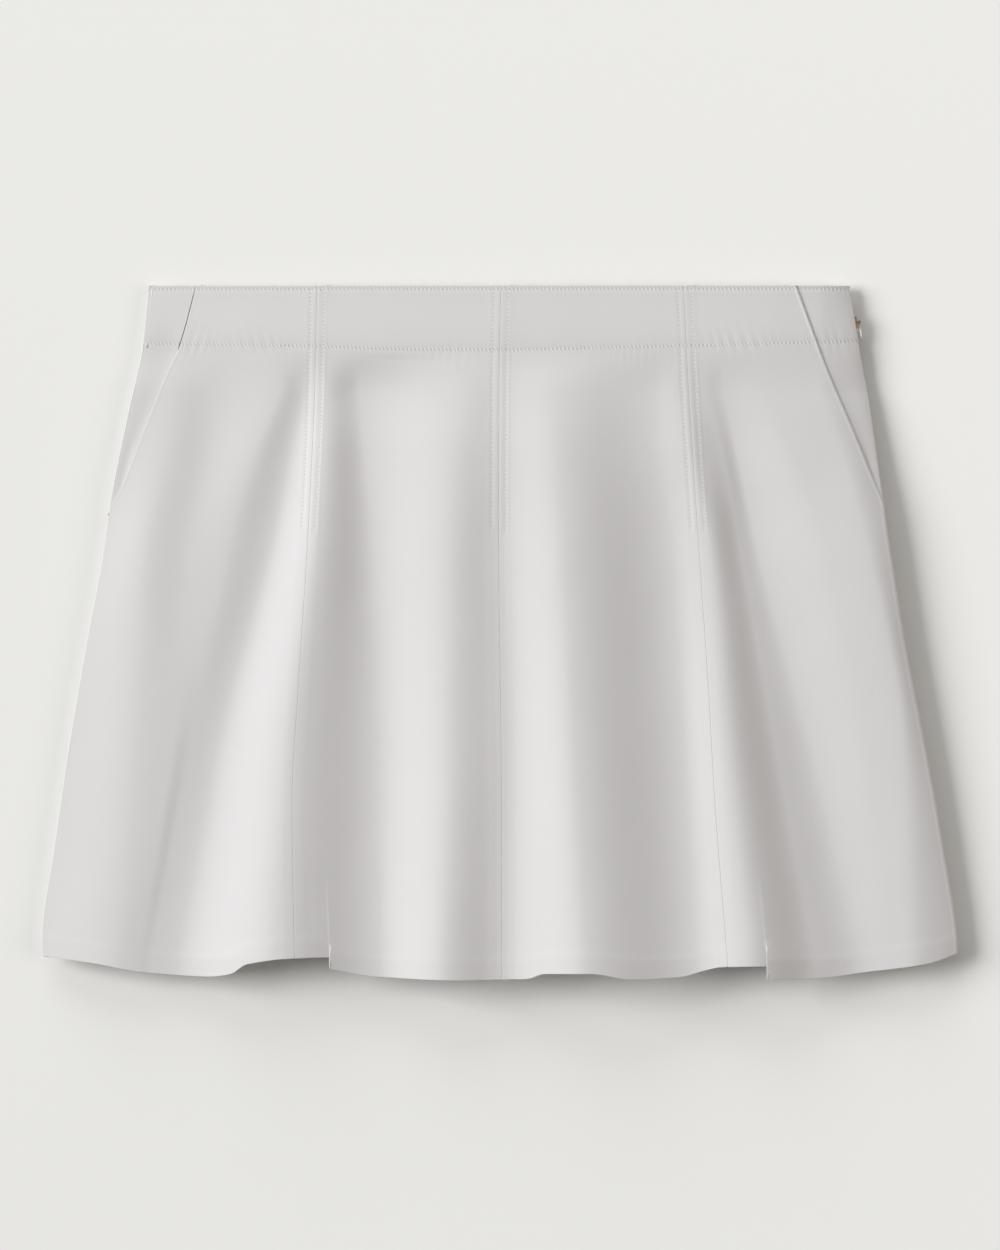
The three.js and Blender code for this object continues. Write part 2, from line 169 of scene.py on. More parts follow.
# The stitched line that holds the facing, as it really lies: it dips towards the middle.
FACING_LINE = table(
    "across down",
    (-210, 34.4),
    (-105, 36.3),
    (-58, 38.0),
    (0, 38.6),
    (70, 36.9),
    (105, 36.3),
    (210, 33.3),
)

# Crests and troughs of the front, left to right: how far across each one lies and how high the cloth is
# along it, both at five distances down from the waist edge.
FOLD_STATIONS = (63, 97, 149, 266, 393)
FOLDS = table(
    "across height",
    ((-190, -194, -204, -210, -224), (11.2, 11.8, 12.3, 12.9, 14.1)),  # left edge
    ((-166, -170, -180, -190, -210), (10.1, 10.3, 10.8, 12.0, 12.9)),  # left dip
    ((-128, -142, -158, -180, -204), (11.6, 12.2, 11.4, 10.7, 12.0)),  # left shoulder
    ((-114, -122, -133, -164, -188), (10.0, 9.9, 8.8, 9.4, 11.0)),  # left trough
    ((-101, -102, -106, -121.5, -130), (12.0, 14.5, 16.4, 20.7, 27.0)),  # left crest
    ((-82, -79, -75, -71, -70), (9.2, 9.9, 9.8, 11.3, 15.5)),  # inner left trough
    ((-18, -24, -27, -27, -32), (16.1, 18.6, 19.4, 22.2, 26.4)),  # middle left crest
    ((-2, 0, 1, 5, 4), (15.6, 17.0, 16.2, 18.2, 20.0)),  # middle trough
    ((32, 33, 37, 43, 50), (18.3, 21.6, 23.3, 28.7, 33.7)),  # middle right crest
    ((90, 91, 99, 107, 114), (13.4, 13.8, 12.2, 16.4, 21.4)),  # inner right trough
    ((104, 110, 122, 132, 146), (14.2, 15.0, 15.0, 21.4, 28.0)),  # right crest
    ((119, 129, 139, 160, 183), (13.3, 11.2, 8.9, 11.6, 15.6)),  # right slope
    ((130, 138, 149, 181, 211), (12.3, 9.2, 6.8, 7.6, 10.4)),  # right trough
    ((153, 170, 190, 213, 231), (13.2, 12.4, 11, 10.4, 11.8)),  # right shoulder
    ((186, 198, 213, 235, 240), (12.4, 12.0, 11.9, 11.4, 12.4)),  # right edge
)

# How high the front is beside its outline, at the waist and then at the same distances down.
EDGES = {"left": (8.5, 10.4, 9.6, 7.6, 7.5, 8), "right": (9.4, 6.8, 7.6, 9.8, 9.0, 7.4)}

# Two folds near the hem tip over sideways: the cloth on the right side lies over the cloth on the left side.
TIPPED_FOLDS = table(
    "across_top across_hem start full",
    (-101.5, -98.5, 380, 393),
    (149.5, 155.5, 380, 393),
)
TIP_WIDTH = 4  # half width of the strip that tips over
TIP_SHIFT = 3.6  # how far its two edges slide past each other
TIP_DROP = 0.45  # half of the height between its two edges
TIP_REACH = 2.4  # the parted height fades out over this many half widths
CREASE_FROM, CREASE_RISE = 335, 0.12  # above a tipped fold its crease is a fine step from here on

# The inner shorts: half of the outline, waist to leg opening.
SHORTS = table(
    "down inner outer",
    (6, 0, 184),
    (110, 0, 196),
    (180, 0, 200.5),
    (265, 0, 203.5),
    (275, 9, 204),
    (300, 17, 204.4),
    (343, 22, 205),
)

# Sewing.
STITCH_PITCH = 2.3
STITCH_LENGTH = 1.7
STITCH_LEAN = 0.55  # each stitch lies at this many radians to its row
THREAD_RADIUS = 0.2
TOP_STITCH_DOWN = 3.0  # first row below the waist edge
SEAM_STITCH_END = 143  # the rows beside the front seams end here, with a short bar
SEAM_ROWS = {"left": (-4.0, 4.0), "centre": (-4.4, 4.2), "right": (-4.0, 4.2)}

# Small puckers along the facing's stitches: where they lie, how they lean and rise, and how far they reach.
PUCKERS = table(
    "across spread lean pitch rise above below",
    (141, 19, -0.35, 6.2, 0.5, 4.6, 1.8),
    (-140, 15, -0.3, 6.1, 0.30, 5, 3),
    (76, 15, 0.05, 4.3, 0.22, 3, 7),
    (-30, 16, 0.10, 5.3, 0.20, 3, 6),
    (-178, 12, 0.30, 5.1, 0.20, 5, 5),
    (196, 10, -0.25, 5.7, 0.30, 5, 3),
)


# ---- Curves and surfaces.

def spread_over(values, at):
    """A row of values for each known point. A row may hold one value, or one for each of the points `at`."""
    values = np.asarray(values, float)
    if values.ndim == 1:
        values = values.reshape(values.shape + (1,) * at.ndim)
    return np.broadcast_to(values, values.shape[:1] + at.shape)


def through(places, values, at):
    """A smooth curve through points that never overshoots: it is level at every crest and trough.

    Each stretch is value0 + (value1 - value0) t^2 (3 - 2t), plus span t (1 - t) ((1 - t) slope0 - t slope1).
    A slope is the harmonic mean of the straight slopes on its two sides, or 0 where they differ in sign.
    """
    at = np.asarray(at, float)
    known, held = spread_over(places, at), spread_over(values, at)
    straight = np.diff(held, axis=0) / np.diff(known, axis=0)
    product = straight[:-1] * straight[1:]
    total = straight[:-1] + straight[1:]
    middle = np.where(product > 0, 2 * product / np.where(product > 0, total, 1), 0)
    slope = np.concatenate([straight[:1], middle, straight[-1:]])
    place = np.clip(at, known[0], known[-1])
    index = np.clip((place[None] > known[1:]).sum(0), 0, len(known) - 2)

    def pick(rows, i):
        return np.take_along_axis(rows, i[None], 0)[0]

    place0, place1 = pick(known, index), pick(known, index + 1)
    value0, value1 = pick(held, index), pick(held, index + 1)
    span = place1 - place0
    t = (place - place0) / span
    bend = span * t * (1 - t) * ((1 - t) * pick(slope, index) - t * pick(slope, index + 1))
    return value0 + (value1 - value0) * t * t * (3 - 2 * t) + bend


def smooth(value, low, high):
    """0 below low, 1 above high, and t^2 (3 - 2t) between."""
    t = np.clip((value - low) / (high - low), 0, 1)
    return t * t * (3 - 2 * t)


def bell(distance, width):
    """exp(-(distance / width)^2)."""
    return np.exp(-np.square(distance / width))


FINE_DOWNS = np.linspace(-10, 430, 1761)


def down_curve(places, values):
    """A curve down the skirt, worked out once on a fine scale and read off it after that."""
    fine = through(places, values, FINE_DOWNS)
    return lambda down: np.interp(down, FINE_DOWNS, fine)


left_side = down_curve(OUTLINE["down"], -OUTLINE["left"])
right_side = down_curve(OUTLINE["down"], OUTLINE["right"])
SEAM_LINES = {side: down_curve(SEAMS["down"], SEAMS[side]) for side in ("left", "centre", "right")}
POCKET_LINES = {side: down_curve(POCKETS["down"], POCKETS[side]) for side in ("left", "right")}


def hem_down(across):
    return through(HEM["across"], HEM["down"], across)


def facing_down(across):
    return through(FACING_LINE["across"], FACING_LINE["down"], across)


def height_curve(waist, *heights):
    """Heights down the skirt: level above the facing's stitches, then as the table says."""
    return down_curve((0, FACING_DEPTH, *FOLD_STATIONS), (waist, waist, *heights))


def fold_curves():
    """Each fold's place and height as curves down the skirt, with the two edges first and last."""
    curves = [(left_side, height_curve(*EDGES["left"]))]
    for across, heights in zip(*FOLDS.values()):
        waist = WAIST_HEIGHT + WAIST_DOME * (1 - (across[0] / OUTLINE["left"][0]) ** 2)
        waist += WAIST_TILT * np.interp(across[0], *WAIST_TILT_SHARES.values())
        curves.append((down_curve(FOLD_STATIONS, across), height_curve(waist, *heights)))
    return [*curves, (right_side, height_curve(*EDGES["right"]))]


FOLD_CURVES = fold_curves()


def rise(across, down):
    """Height added to the front: a dip at the waist edge, and loose cloth towards the hem and the right."""
    dip = WAIST_DIP * (1 - smooth(down, 0, WAIST_DIP_END))
    loose = HEM_LIFT * smooth(down, HEM_LIFT_FROM, HEM_LIFT_TO)
    return loose + RIGHT_LIFT * smooth(across, 90, 225) * smooth(down, FACING_DEPTH, 80) - dip


def side_roll(across, down):
    """How much the front rolls down towards the right side seam: roll exp(-inset / reach)."""
    return RIGHT_ROLL * np.exp(-np.maximum(right_side(down) - across, 0) / RIGHT_ROLL_REACH)


def seam_height(across, down):
    """Height of the side seam on the nearer side."""
    left, right = FOLD_CURVES[0][1](down), FOLD_CURVES[-1][1](down) - RIGHT_ROLL
    return np.where(across < 0, left, right) - SEAM_DROP + rise(across, down)


def inset_at(across, down):
    """Distance in from the nearer side seam."""
    return np.minimum(across - left_side(down), right_side(down) - across)


def turn_over(inset, reach):
    """A quarter ellipse that rises from 0 at the side seam to 1 at the given distance in from it."""
    return np.sqrt(1 - np.clip(1 - inset / reach, 0, 1) ** 2)


def tipped_places(across, down):
    """For each tipped fold: the place across it in half widths, and how far it is tipped."""
    for top, hem, start, full in zip(*TIPPED_FOLDS.values()):
        middle = top + (hem - top) * np.clip((down - CREASE_FROM) / (HEM_SIDE - CREASE_FROM), 0, 1)
        yield (across - middle) / TIP_WIDTH, smooth(down, start, full)


def tip(across, down):
    """Slide and lift of the strips that tip over near the hem, with q across the strip.

    The slide is -q exp((1 - q^2) / 2), and the lift rises from -1 to 1 between q = -0.8 and 0.8, times
    exp(-(q / reach)^2).
    """
    slide, lift = np.zeros_like(across), np.zeros_like(across)
    for q, amount in tipped_places(across, down):
        slide -= TIP_SHIFT * amount * q * np.exp((1 - q * q) / 2)
        lift += TIP_DROP * amount * (2 * smooth(q, -0.8, 0.8) - 1) * bell(q, TIP_REACH)
    return slide, lift


def crease_relief(across, down):
    """A fold's crease above where it tips over: a step up to the right that fades by exp(-distance / 5)."""
    relief = np.zeros_like(across)
    for q, amount in tipped_places(across, down):
        distance = q * TIP_WIDTH
        step = smooth(distance, -0.9, 0.5) * np.exp(-np.maximum(distance, 0) / 5)
        relief += CREASE_RISE * step * smooth(down, CREASE_FROM, CREASE_FROM + 30) * (1 - amount)
    return relief


def hem_turn_share(across):
    """The hem's turned layer is cut away inside a tipped fold."""
    folded = sum(bell(q, 1.6) for q, _ in tipped_places(across, np.full_like(across, HEM_SIDE)))
    return 1 - 0.95 * np.clip(folded, 0, 1)


def as_grids(across, down):
    return np.broadcast_arrays(np.asarray(across, float), np.asarray(down, float))


def front_surface(across, down):
    """The outside of the front: a smooth curve over the folds, with a quarter ellipse down to each side."""
    across, down = as_grids(across, down)
    places = np.stack([place(down) for place, _ in FOLD_CURVES])
    heights = np.stack([height(down) for _, height in FOLD_CURVES])
    slide, lift = tip(across, down)
    edge = seam_height(across, down) + SEAM_SHARE
    height = through(places, heights, across + slide) + rise(across, down) - side_roll(across, down)
    height = edge + (height - edge) * turn_over(inset_at(across, down), FRONT_ROUND)
    return np.stack([across + slide, TOP - down, height + lift], -1)


def back_surface(across, down):
    """The outside of the back: flat on the floor, and lifted to the side seams by (1 - inset / reach)^1.7."""
    across, down = as_grids(across, down)
    seam = seam_height(across, down) - SEAM_SHARE
    lift = seam * np.clip(1 - inset_at(across, down) / BACK_ROUND, 0, 1) ** 1.7
    return np.stack([across, TOP - down, lift], -1)


def unit(vectors):
    return vectors / np.linalg.norm(vectors, axis=-1, keepdims=True)


def outward(surface, across, down, facing):
    """The outward direction of a surface, from two short steps along it that stay inside the outline."""
    step = 0.01
    low = np.maximum(across - step, left_side(down))
    high = np.minimum(across + step, right_side(down))
    along_x = surface(high, down) - surface(low, down)
    along_y = surface(across, down - step) - surface(across, down + step)
    return unit(np.cross(along_x, along_y) * facing)


# ---- Relief: what sewing does to the cloth, in millimetres out of the surface.

ROW_GROOVE, SEAM_GROOVE = 0.2, 0.16  # depth of the groove along a row of stitches, and beside a seam
FACING_STEP = 0.12  # the faced waist stands this much higher
HEM_STEP = 0.13  # and so does the turned hem
SEAM_BAND, BAND_EDGE = 0.08, (4.6, 7)  # and the band beside a seam, which thins out between these distances
CUT_RIDGE, CUT_AT = 0.09, 5.3  # the allowance's cut edge makes a low ridge at this distance
PUFF, PUFF_AT = 0.07, 1.5  # the cloth puffs up between a seam and its stitches
PLAIN_BAND, PLAIN_EDGE = 0.07, (5, 9)  # the band below the last stitches
SIDE_RIDGE = 0.12  # and the cloth beside the right side seam
LEFT_POCKET_RIDGE, RIGHT_POCKET_RIDGE = 0.05, 0.14  # and the pockets' folded edges
RUMPLE = 0.045  # height of the cloth's broad unevenness


def stitched_groove(distance, depth=ROW_GROOVE):
    """A row of stitches draws the cloth down along a soft groove."""
    return -depth * bell(distance, 1.0)


def facing_relief(across, down):
    """The faced waist is a little thicker, and its two rows of stitches draw the cloth down."""
    line = facing_down(across)
    step = FACING_STEP * (1 - smooth(down, line - 0.4, line + 1.6))
    rows = stitched_groove(down - line) + stitched_groove(down - TOP_STITCH_DOWN)
    return step + rows + pucker_relief(across, down - line)


def pucker_relief(across, below_line):
    """Ripples that start at the facing's stitches: cos^2 across each patch, fading out above and below."""
    relief = np.zeros_like(across)
    for middle, spread, lean, pitch, rise, above, below in zip(*PUCKERS.values()):
        place = across - middle + lean * below_line
        uneven = place + 0.7 * np.sin(place / 5.3 + middle)
        fade = np.where(below_line < 0, np.exp(below_line / above), np.exp(-below_line / below))
        wave = np.cos(np.pi * uneven / pitch) ** 2 - 0.5
        relief += rise * wave * fade * bell(place, spread) * smooth(np.abs(below_line), 0.3, 1.4)
    return relief


def seam_relief(across, down):
    """Beside each front seam the pressed allowance makes a low band, with a row of stitches each side."""
    relief = np.zeros_like(across)
    sewn = 1 - smooth(down, SEAM_STITCH_END - 0.5, SEAM_STITCH_END + 2.5)
    sewn = sewn * (0.5 + 0.5 * smooth(down, 33, 42))
    for side, line in SEAM_LINES.items():
        distance = across - line(down)
        away = np.abs(distance)
        band = SEAM_BAND * (1 - smooth(away, *BAND_EDGE)) + CUT_RIDGE * bell(distance - CUT_AT, 0.8)
        rows = sum(stitched_groove(distance - row, SEAM_GROOVE) for row in SEAM_ROWS[side])
        puff = PUFF * bell(away - PUFF_AT, 0.9)
        plain = PLAIN_BAND * (1 - smooth(away, *PLAIN_EDGE)) + 0.02 * bell(away - 1.2, 0.9)
        relief += sewn * (band + rows + puff) + (1 - sewn) * plain
    return relief


def pocket_relief(across, down):
    """A soft ridge along the pockets' folded edges, stronger in the faced waist on the zip's side."""
    from_left = across - POCKET_LINES["left"](down)
    from_right = POCKET_LINES["right"](down) - across
    in_waist = 1 - smooth(down, 34, 46)
    right = (1 + in_waist) * RIGHT_POCKET_RIDGE * bell(from_right - 1.0, 0.8)
    return LEFT_POCKET_RIDGE * bell(from_left - 0.9, 0.9) + right


def hem_relief(across, down):
    """The turned hem is slightly raised, with an uneven upper edge."""
    above_hem = hem_down(across) - down
    uneven = 0.03 * np.sin(across / 2.3) * bell(above_hem - 12, 1.5)
    return HEM_STEP * (1 - smooth(above_hem, 11.2, 12.8)) + uneven


def rumple(across, down):
    """Broad, very low unevenness of the cloth, from a few crossed waves."""
    waves = (
        np.sin(across / 9.1 + down / 31.0 + 1.3) * np.sin(down / 23.0 - across / 40.0),
        np.sin(across / 13.7 - down / 19.0) * np.sin(down / 37.0 + 0.7),
        np.sin(across / 5.3 + 2.1 * np.sin(down / 29.0)) * np.sin(down / 17.0 + across / 61.0) * 0.5,
    )
    return RUMPLE * sum(waves)


def front_relief(across, down):
    sewing = facing_relief(across, down) + seam_relief(across, down) + pocket_relief(across, down)
    side_ridge = SIDE_RIDGE * bell(right_side(down) - across - 1.4, 0.8)
    looseness = 0.4 + 0.6 * smooth(down, 2, 30)
    folds = crease_relief(across, down) + hem_relief(across, down)
    return sewing + side_ridge + folds + rumple(across, down) * looseness


def hip_relief(across, down):
    return facing_relief(across, down) + 0.6 * rumple(across, down)


def back_relief(across, down):
    """The back lies on the surface, so its sewing only draws the cloth inwards."""
    rows = stitched_groove(down - FACING_DEPTH) + stitched_groove(down - TOP_STITCH_DOWN)
    return rows - 0.05 - 0.5 * np.abs(rumple(across, down))


# ---- Panels: grids of cloth with their edges turned under.

PRESSED = 0.3  # a folded edge is pressed to this share of its round width


def turned_edge(lengths, radius):
    """How far in and how deep each point of cloth lies where it folds back under itself.

    `lengths` run along the cloth from the fold, positive on the outside. Round the fold the point is
    pressed radius (1 - cos angle) in and radius (1 - sin angle) deep, with angle = length / radius. Beyond a
    quarter turn either way it runs straight in.
    """
    quarter = np.pi * radius / 2
    angle = np.clip(lengths / radius, -np.pi / 2, np.pi / 2)
    inset = PRESSED * radius * (1 - np.cos(angle)) + np.maximum(np.abs(lengths) - quarter, 0)
    return inset, radius * (1 - np.sin(angle))


def edge_strip(radius, turned, margin, steps=18, set_in=0):
    """Insets and depths of a panel's edge: the part turned under, the fold, and the outside to the margin."""
    quarter = np.pi * radius / 2
    under = np.linspace(-quarter - turned, -quarter, max(3, int(turned / 4)), endpoint=False)
    fold = np.linspace(-quarter, quarter, 8, endpoint=False)
    outside = quarter + (margin - radius) * np.linspace(0, 1, steps) ** 1.35
    inset, depth = turned_edge(np.concatenate([under, fold, outside]), radius)
    return inset + set_in, depth


def spaced(count, crowds=()):
    """Places from 0 to 1, closer together near each crowded place: (where, how wide, how much closer)."""
    fine = np.linspace(0, 1, 4001)
    density = np.ones_like(fine)
    for at, width, gain in crowds:
        density += gain * bell(fine - at, width)
    total = np.concatenate([[0], np.cumsum((density[1:] + density[:-1]) / 2)])
    return np.interp(np.linspace(0, total[-1], count), total, fine)


def strips(first, inner, last):
    """Share, offset and depth of a panel's grid lines: its first edge, its inner places, its last edge."""
    inset_first, depth_first = edge_strip(**first)
    inset_last, depth_last = edge_strip(**last)
    offset_inner = inset_first[-1] * (1 - inner) - inset_last[-1] * inner
    share = np.concatenate([0 * inset_first, inner[1:-1], 1 + 0 * inset_last])
    offset = np.concatenate([inset_first, offset_inner[1:-1], -inset_last[::-1]])
    depth = np.concatenate([depth_first, 0 * inner[1:-1], depth_last[::-1]])
    return share, offset, depth


TURNED_PULL = 4.0  # how strongly a turned layer is drawn in


def panel_points(cloth, first, last, end, columns, rows, hem_turn=np.ones_like):
    """A grid of points on a panel between two lines that run down the skirt, ending at a hem.

    The cloth is its surface, its relief and the way it faces. A point is the surface at (across, down), moved
    outward by the relief and in by the depths of its row and its column. A turned layer is narrower at each
    side by pull depth^2.
    """
    surface, relief, facing = cloth
    share, offset, depth = (values[None, :] for values in columns)
    row_share, row_offset, row_depth = (values[:, None] for values in rows)
    across_hem = first(HEM_SIDE) + (last(HEM_SIDE) - first(HEM_SIDE)) * share + offset
    turned = (row_share == 1) & (row_depth > row_depth[-1] * 0.9)
    down = row_share * end(across_hem) + row_offset * np.where(turned, hem_turn(across_hem), 1)
    drawn_in = (1 - 2 * share) * TURNED_PULL * np.square(row_depth)
    across = first(down) + (last(down) - first(down)) * share + offset + drawn_in
    lift = relief(across, down) - depth - row_depth
    points = surface(across, down) + outward(surface, across, down, facing) * lift[..., None]
    return points, np.stack([across, down], -1)


def grid_faces(rows, columns, flip):
    corner = (np.arange(rows - 1)[:, None] * columns + np.arange(columns - 1)).ravel()
    quads = np.stack([corner, corner + columns, corner + columns + 1, corner + 1], 1)
    return quads[:, ::-1] if flip else quads


def add_object(name, data):
    made = bpy.data.objects.new(name, data)
    bpy.context.scene.collection.objects.link(made)
    return made


def make_mesh(name, points, faces):
    mesh = bpy.data.meshes.new(name)
    mesh.from_pydata((points.reshape(-1, 3) * MM).tolist(), [], faces.tolist(), shade_flat=False)
    return add_object(name, mesh)


UV_SCALE = 0.01  # one UV unit is 100 mm of cloth
ROWS_ACROSS, ROWS_DOWN = "Rows across", "Rows down"  # where each point lies beside the nearest stitch row


def mark_rows(piece, places, facing_line, seams):
    """Store, for the cloth's material, where each point lies beside the stitch rows."""
    across, down = places[..., 0].ravel(), places[..., 1].ravel()
    line = facing_line(across)
    nearer_top = down < (line + TOP_STITCH_DOWN) / 2
    distance = down - np.where(nearer_top, TOP_STITCH_DOWN, line)
    store_rows(piece, ROWS_ACROSS, distance, across, np.where(nearer_top, 0.8, 1.0))
    if seams:
        rows = [across - line(down) - row for side, line in SEAM_LINES.items() for row in SEAM_ROWS[side]]
        rows = np.stack(rows)
        distance = np.take_along_axis(rows, np.argmin(np.abs(rows), 0)[None], 0)[0]
        strength = 0.5 * (1 - smooth(down, SEAM_STITCH_END - 1, SEAM_STITCH_END + 1))
        store_rows(piece, ROWS_DOWN, distance, down, strength)


def store_rows(piece, name, distance, along, strength):
    """An attribute that holds (distance from the row, place along it as the stitches lean, strength)."""
    values = np.stack([np.abs(distance), along - STITCH_LEAN * distance, strength], -1)
    layer = piece.data.attributes.new(name, "FLOAT_VECTOR", "POINT")
    layer.data.foreach_set("vector", values.astype(np.float32).ravel())


def cloth_panel(name, grid, facing, thickness):
    """A closed thin shell of cloth whose outside is the grid."""
    points, places = grid
    faces = grid_faces(*points.shape[:2], facing < 0)
    piece = make_mesh(name, points, faces)
    layer = piece.data.uv_layers.new(name="Cloth")
    layer.data.foreach_set("uv", (places.reshape(-1, 2)[faces.ravel()] * UV_SCALE).astype(np.float32).ravel())
    wall = piece.modifiers.new("Cloth thickness", "SOLIDIFY")
    wall.thickness = thickness
    wall.offset = -1
    return piece


def stand_in(piece, node, material):
    """A new piece in a solid's place: it takes its finish and hangs on its body, and the solid is hidden."""
    piece.data.materials.append(material)
    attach(piece, "skort")
    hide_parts(node)


def declare_cloth(piece, node, material):
    """A cloth panel in a solid's place, made ready as above."""
    stand_in(piece, node, material)


def panel_cut(first, last, until, turned, length, samples=200):
    """Width, length and flat area of a panel's cut, whose width is read down to `until`."""
    downs = np.linspace(0, until, samples)
    widths = last(downs) - first(downs) + turned
    return float(np.max(widths)), float(length), float(np.mean(widths)) * float(length)


def level(value):
    """A line or hem that stays at one value."""
    return lambda at: np.full_like(at, value, dtype=float)


# ---- Stitches.

THREAD_RINGS, THREAD_SIDES = 5, 6
THREAD_LIFT, THREAD_SINK = 0.6, 0.3  # how high a thread's middle lies, in radii, and how deep its ends, in mm
THREAD_FLATNESS = 0.8  # a thread's height as a share of its width


def stitches_along(cloth, across, down, count_along):
    """A row of stitches along a path on a surface, as the points of short closed threads.

    A stitch lies at every crest of the ripples, where `count_along` is (n + 1/4) pitches.
    Ring k of a thread, k from 0 to 1, is centred length (k - 1/2) from the stitch's middle and lies
    lift radius sin(pi k) - sink (1 - sin(pi k)) above the cloth, and its radius is radius sin(pi k)^0.5. Both
    ends are single points sunk in the cloth.
    """
    surface, relief, facing = cloth
    down = down + 0 * across
    length = STITCH_LENGTH
    normal = outward(surface, across, down, facing)
    path = surface(across, down) + normal * relief(across, down)[..., None]
    reach = np.concatenate([[0], np.cumsum(np.linalg.norm(np.diff(path, axis=0), axis=1))])
    turns = np.arange(np.ceil(count_along[0] / STITCH_PITCH), np.floor(count_along[-1] / STITCH_PITCH)) + 0.25
    middles = np.interp(turns * STITCH_PITCH, count_along, reach)
    middles = middles[(middles > length / 2) & (middles < reach[-1] - length / 2)]
    ring = np.linspace(0, 1, THREAD_RINGS + 2)
    along = middles[:, None] + length * (ring - 0.5)

    def read(values):
        return np.stack([np.interp(along, reach, values[:, axis]) for axis in range(3)], -1)

    points, up = read(path), unit(read(normal))
    side = unit(np.cross(np.gradient(points, axis=1), up))
    middle = points[:, THREAD_RINGS // 2 + 1][:, None]
    points = middle + (points - middle) * math.cos(STITCH_LEAN)
    points = points + side * (length * (ring - 0.5) * math.sin(STITCH_LEAN))[None, :, None]
    swell = np.sin(np.pi * ring)[None, :, None]
    points = points + up * (THREAD_RADIUS * THREAD_LIFT * swell - THREAD_SINK * (1 - swell))
    angle = (np.arange(THREAD_SIDES) * 2 * np.pi / THREAD_SIDES)[:, None]
    spokes = side[:, 1:-1, None] * np.cos(angle) + up[:, 1:-1, None] * np.sin(angle) * THREAD_FLATNESS
    rings = points[:, 1:-1, None] + spokes * (THREAD_RADIUS * np.sqrt(swell[:, 1:-1, :, None]))
    return np.concatenate([points[:, :1], rings.reshape(len(middles), -1, 3), points[:, -1:]], 1)


def thread_faces(count):
    """Triangles of `count` closed threads: a fan at each end and bands of split quads between the rings."""
    ring = np.arange(THREAD_SIDES)
    after = (ring + 1) % THREAD_SIDES
    last = 1 + THREAD_RINGS * THREAD_SIDES
    head = np.stack([0 * ring, 1 + after, 1 + ring], 1)
    tail = np.stack([0 * ring + last, last - THREAD_SIDES + ring, last - THREAD_SIDES + after], 1)
    base = 1 + THREAD_SIDES * np.arange(THREAD_RINGS - 1)[:, None]
    a, b = base + ring, base + after
    lower = np.stack([a, b, b + THREAD_SIDES], -1).reshape(-1, 3)
    upper = np.stack([a, b + THREAD_SIDES, a + THREAD_SIDES], -1).reshape(-1, 3)
    one = np.concatenate([head, lower, upper, tail])
    return (one[None] + (last + 1) * np.arange(count)[:, None, None]).reshape(-1, 3)


def thread_piece(name, rows):
    """One piece of sewing thread from all the stitches of some rows."""
    points = np.concatenate(rows)
    piece = make_mesh(name, points, thread_faces(len(points)))
    colour = bpy.context.scene.skort_cloth.thread_colour
    material = cloth_material("Sewing thread", colour, wales=100, mottling=0.1, roughness=0.7, sheen=0)
    piece.data.materials.append(material)
    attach(piece, "skort")


# ---- Materials.

FINISH = ("Colour", "Roughness", "Height")  # what a finish's group of nodes gives
SCRATCH_DEPTH = 0.00001  # metres


def put(slot, value):
    """Set an input to a plain value, or link another node's output to it."""
    if isinstance(value, bpy.types.NodeSocket):
        slot.id_data.links.new(value, slot)
    else:
        slot.default_value = value


def add_node(tree, kind, **values):
    """A shader node with the named inputs set or linked."""
    node = tree.nodes.new("ShaderNode" + kind)
    for name, value in values.items():
        put(node.inputs[name], value)
    return node


def calc(operation, *values):
    """A math node, in the tree of the first value that is another node's output."""
    tree = next(value for value in values if isinstance(value, bpy.types.NodeSocket)).id_data
    node = tree.nodes.new("ShaderNodeMath")
    node.operation = operation
    for slot, value in zip(node.inputs, values):
        put(slot, value)
    return node.outputs[0]


def noise(place, scale, detail, roughness=0.5):
    """Noise about a middle of 0."""
    made = add_node(place.id_data, "TexNoise", Vector=place, Scale=scale, Detail=detail, Roughness=roughness)
    return calc("SUBTRACT", made.outputs["Fac"], 0.5)


def mix(share, first, second):
    node = share.id_data.nodes.new("ShaderNodeMix")
    node.data_type = "RGBA"
    for name, value in (("Factor", share), ("A", first), ("B", second)):
        put(node.inputs[name], value)
    return node.outputs["Result"]


def new_group(name, outputs, **inputs):
    """A shader node group with its inputs' and outputs' sockets. An input without a value is a place."""
    tree = bpy.data.node_groups.new(name, "ShaderNodeTree")
    for label, value in inputs.items():
        kind = "Vector" if value is None else "Color" if isinstance(value, tuple) else "Float"
        label = label.replace("_", " ")
        made = tree.interface.new_socket(name=label, in_out="INPUT", socket_type="NodeSocket" + kind)
        if value is not None:
            made.default_value = value
    for label in outputs:
        kind = "Color" if label == "Colour" else "Float"
        tree.interface.new_socket(name=label, in_out="OUTPUT", socket_type="NodeSocket" + kind)
    return tree, tree.nodes.new("NodeGroupInput").outputs, tree.nodes.new("NodeGroupOutput").inputs


def stitched_ripples():
    """Small slanted ripples that stitches press into cloth, as a height in millimetres.

    The place holds (distance from the row, leaning place along it, strength), and the height is
    rise strength exp(-(distance / 1.1)^2) sin(2 pi place / pitch).
    """
    tree, given, result = new_group("Stitched ripples", ("Height",), Place=None, Rise=0.12)
    distance, place, strength = add_node(tree, "SeparateXYZ", Vector=given["Place"]).outputs
    wave = calc("SINE", calc("MULTIPLY", place, 2 * math.pi / STITCH_PITCH))
    away = calc("DIVIDE", distance, 1.1)
    fade = calc("EXPONENT", calc("MULTIPLY", calc("MULTIPLY", away, away), -1.0))
    height = calc("MULTIPLY", calc("MULTIPLY", wave, fade), strength)
    put(result["Height"], calc("MULTIPLY", height, given["Rise"]))
    return tree


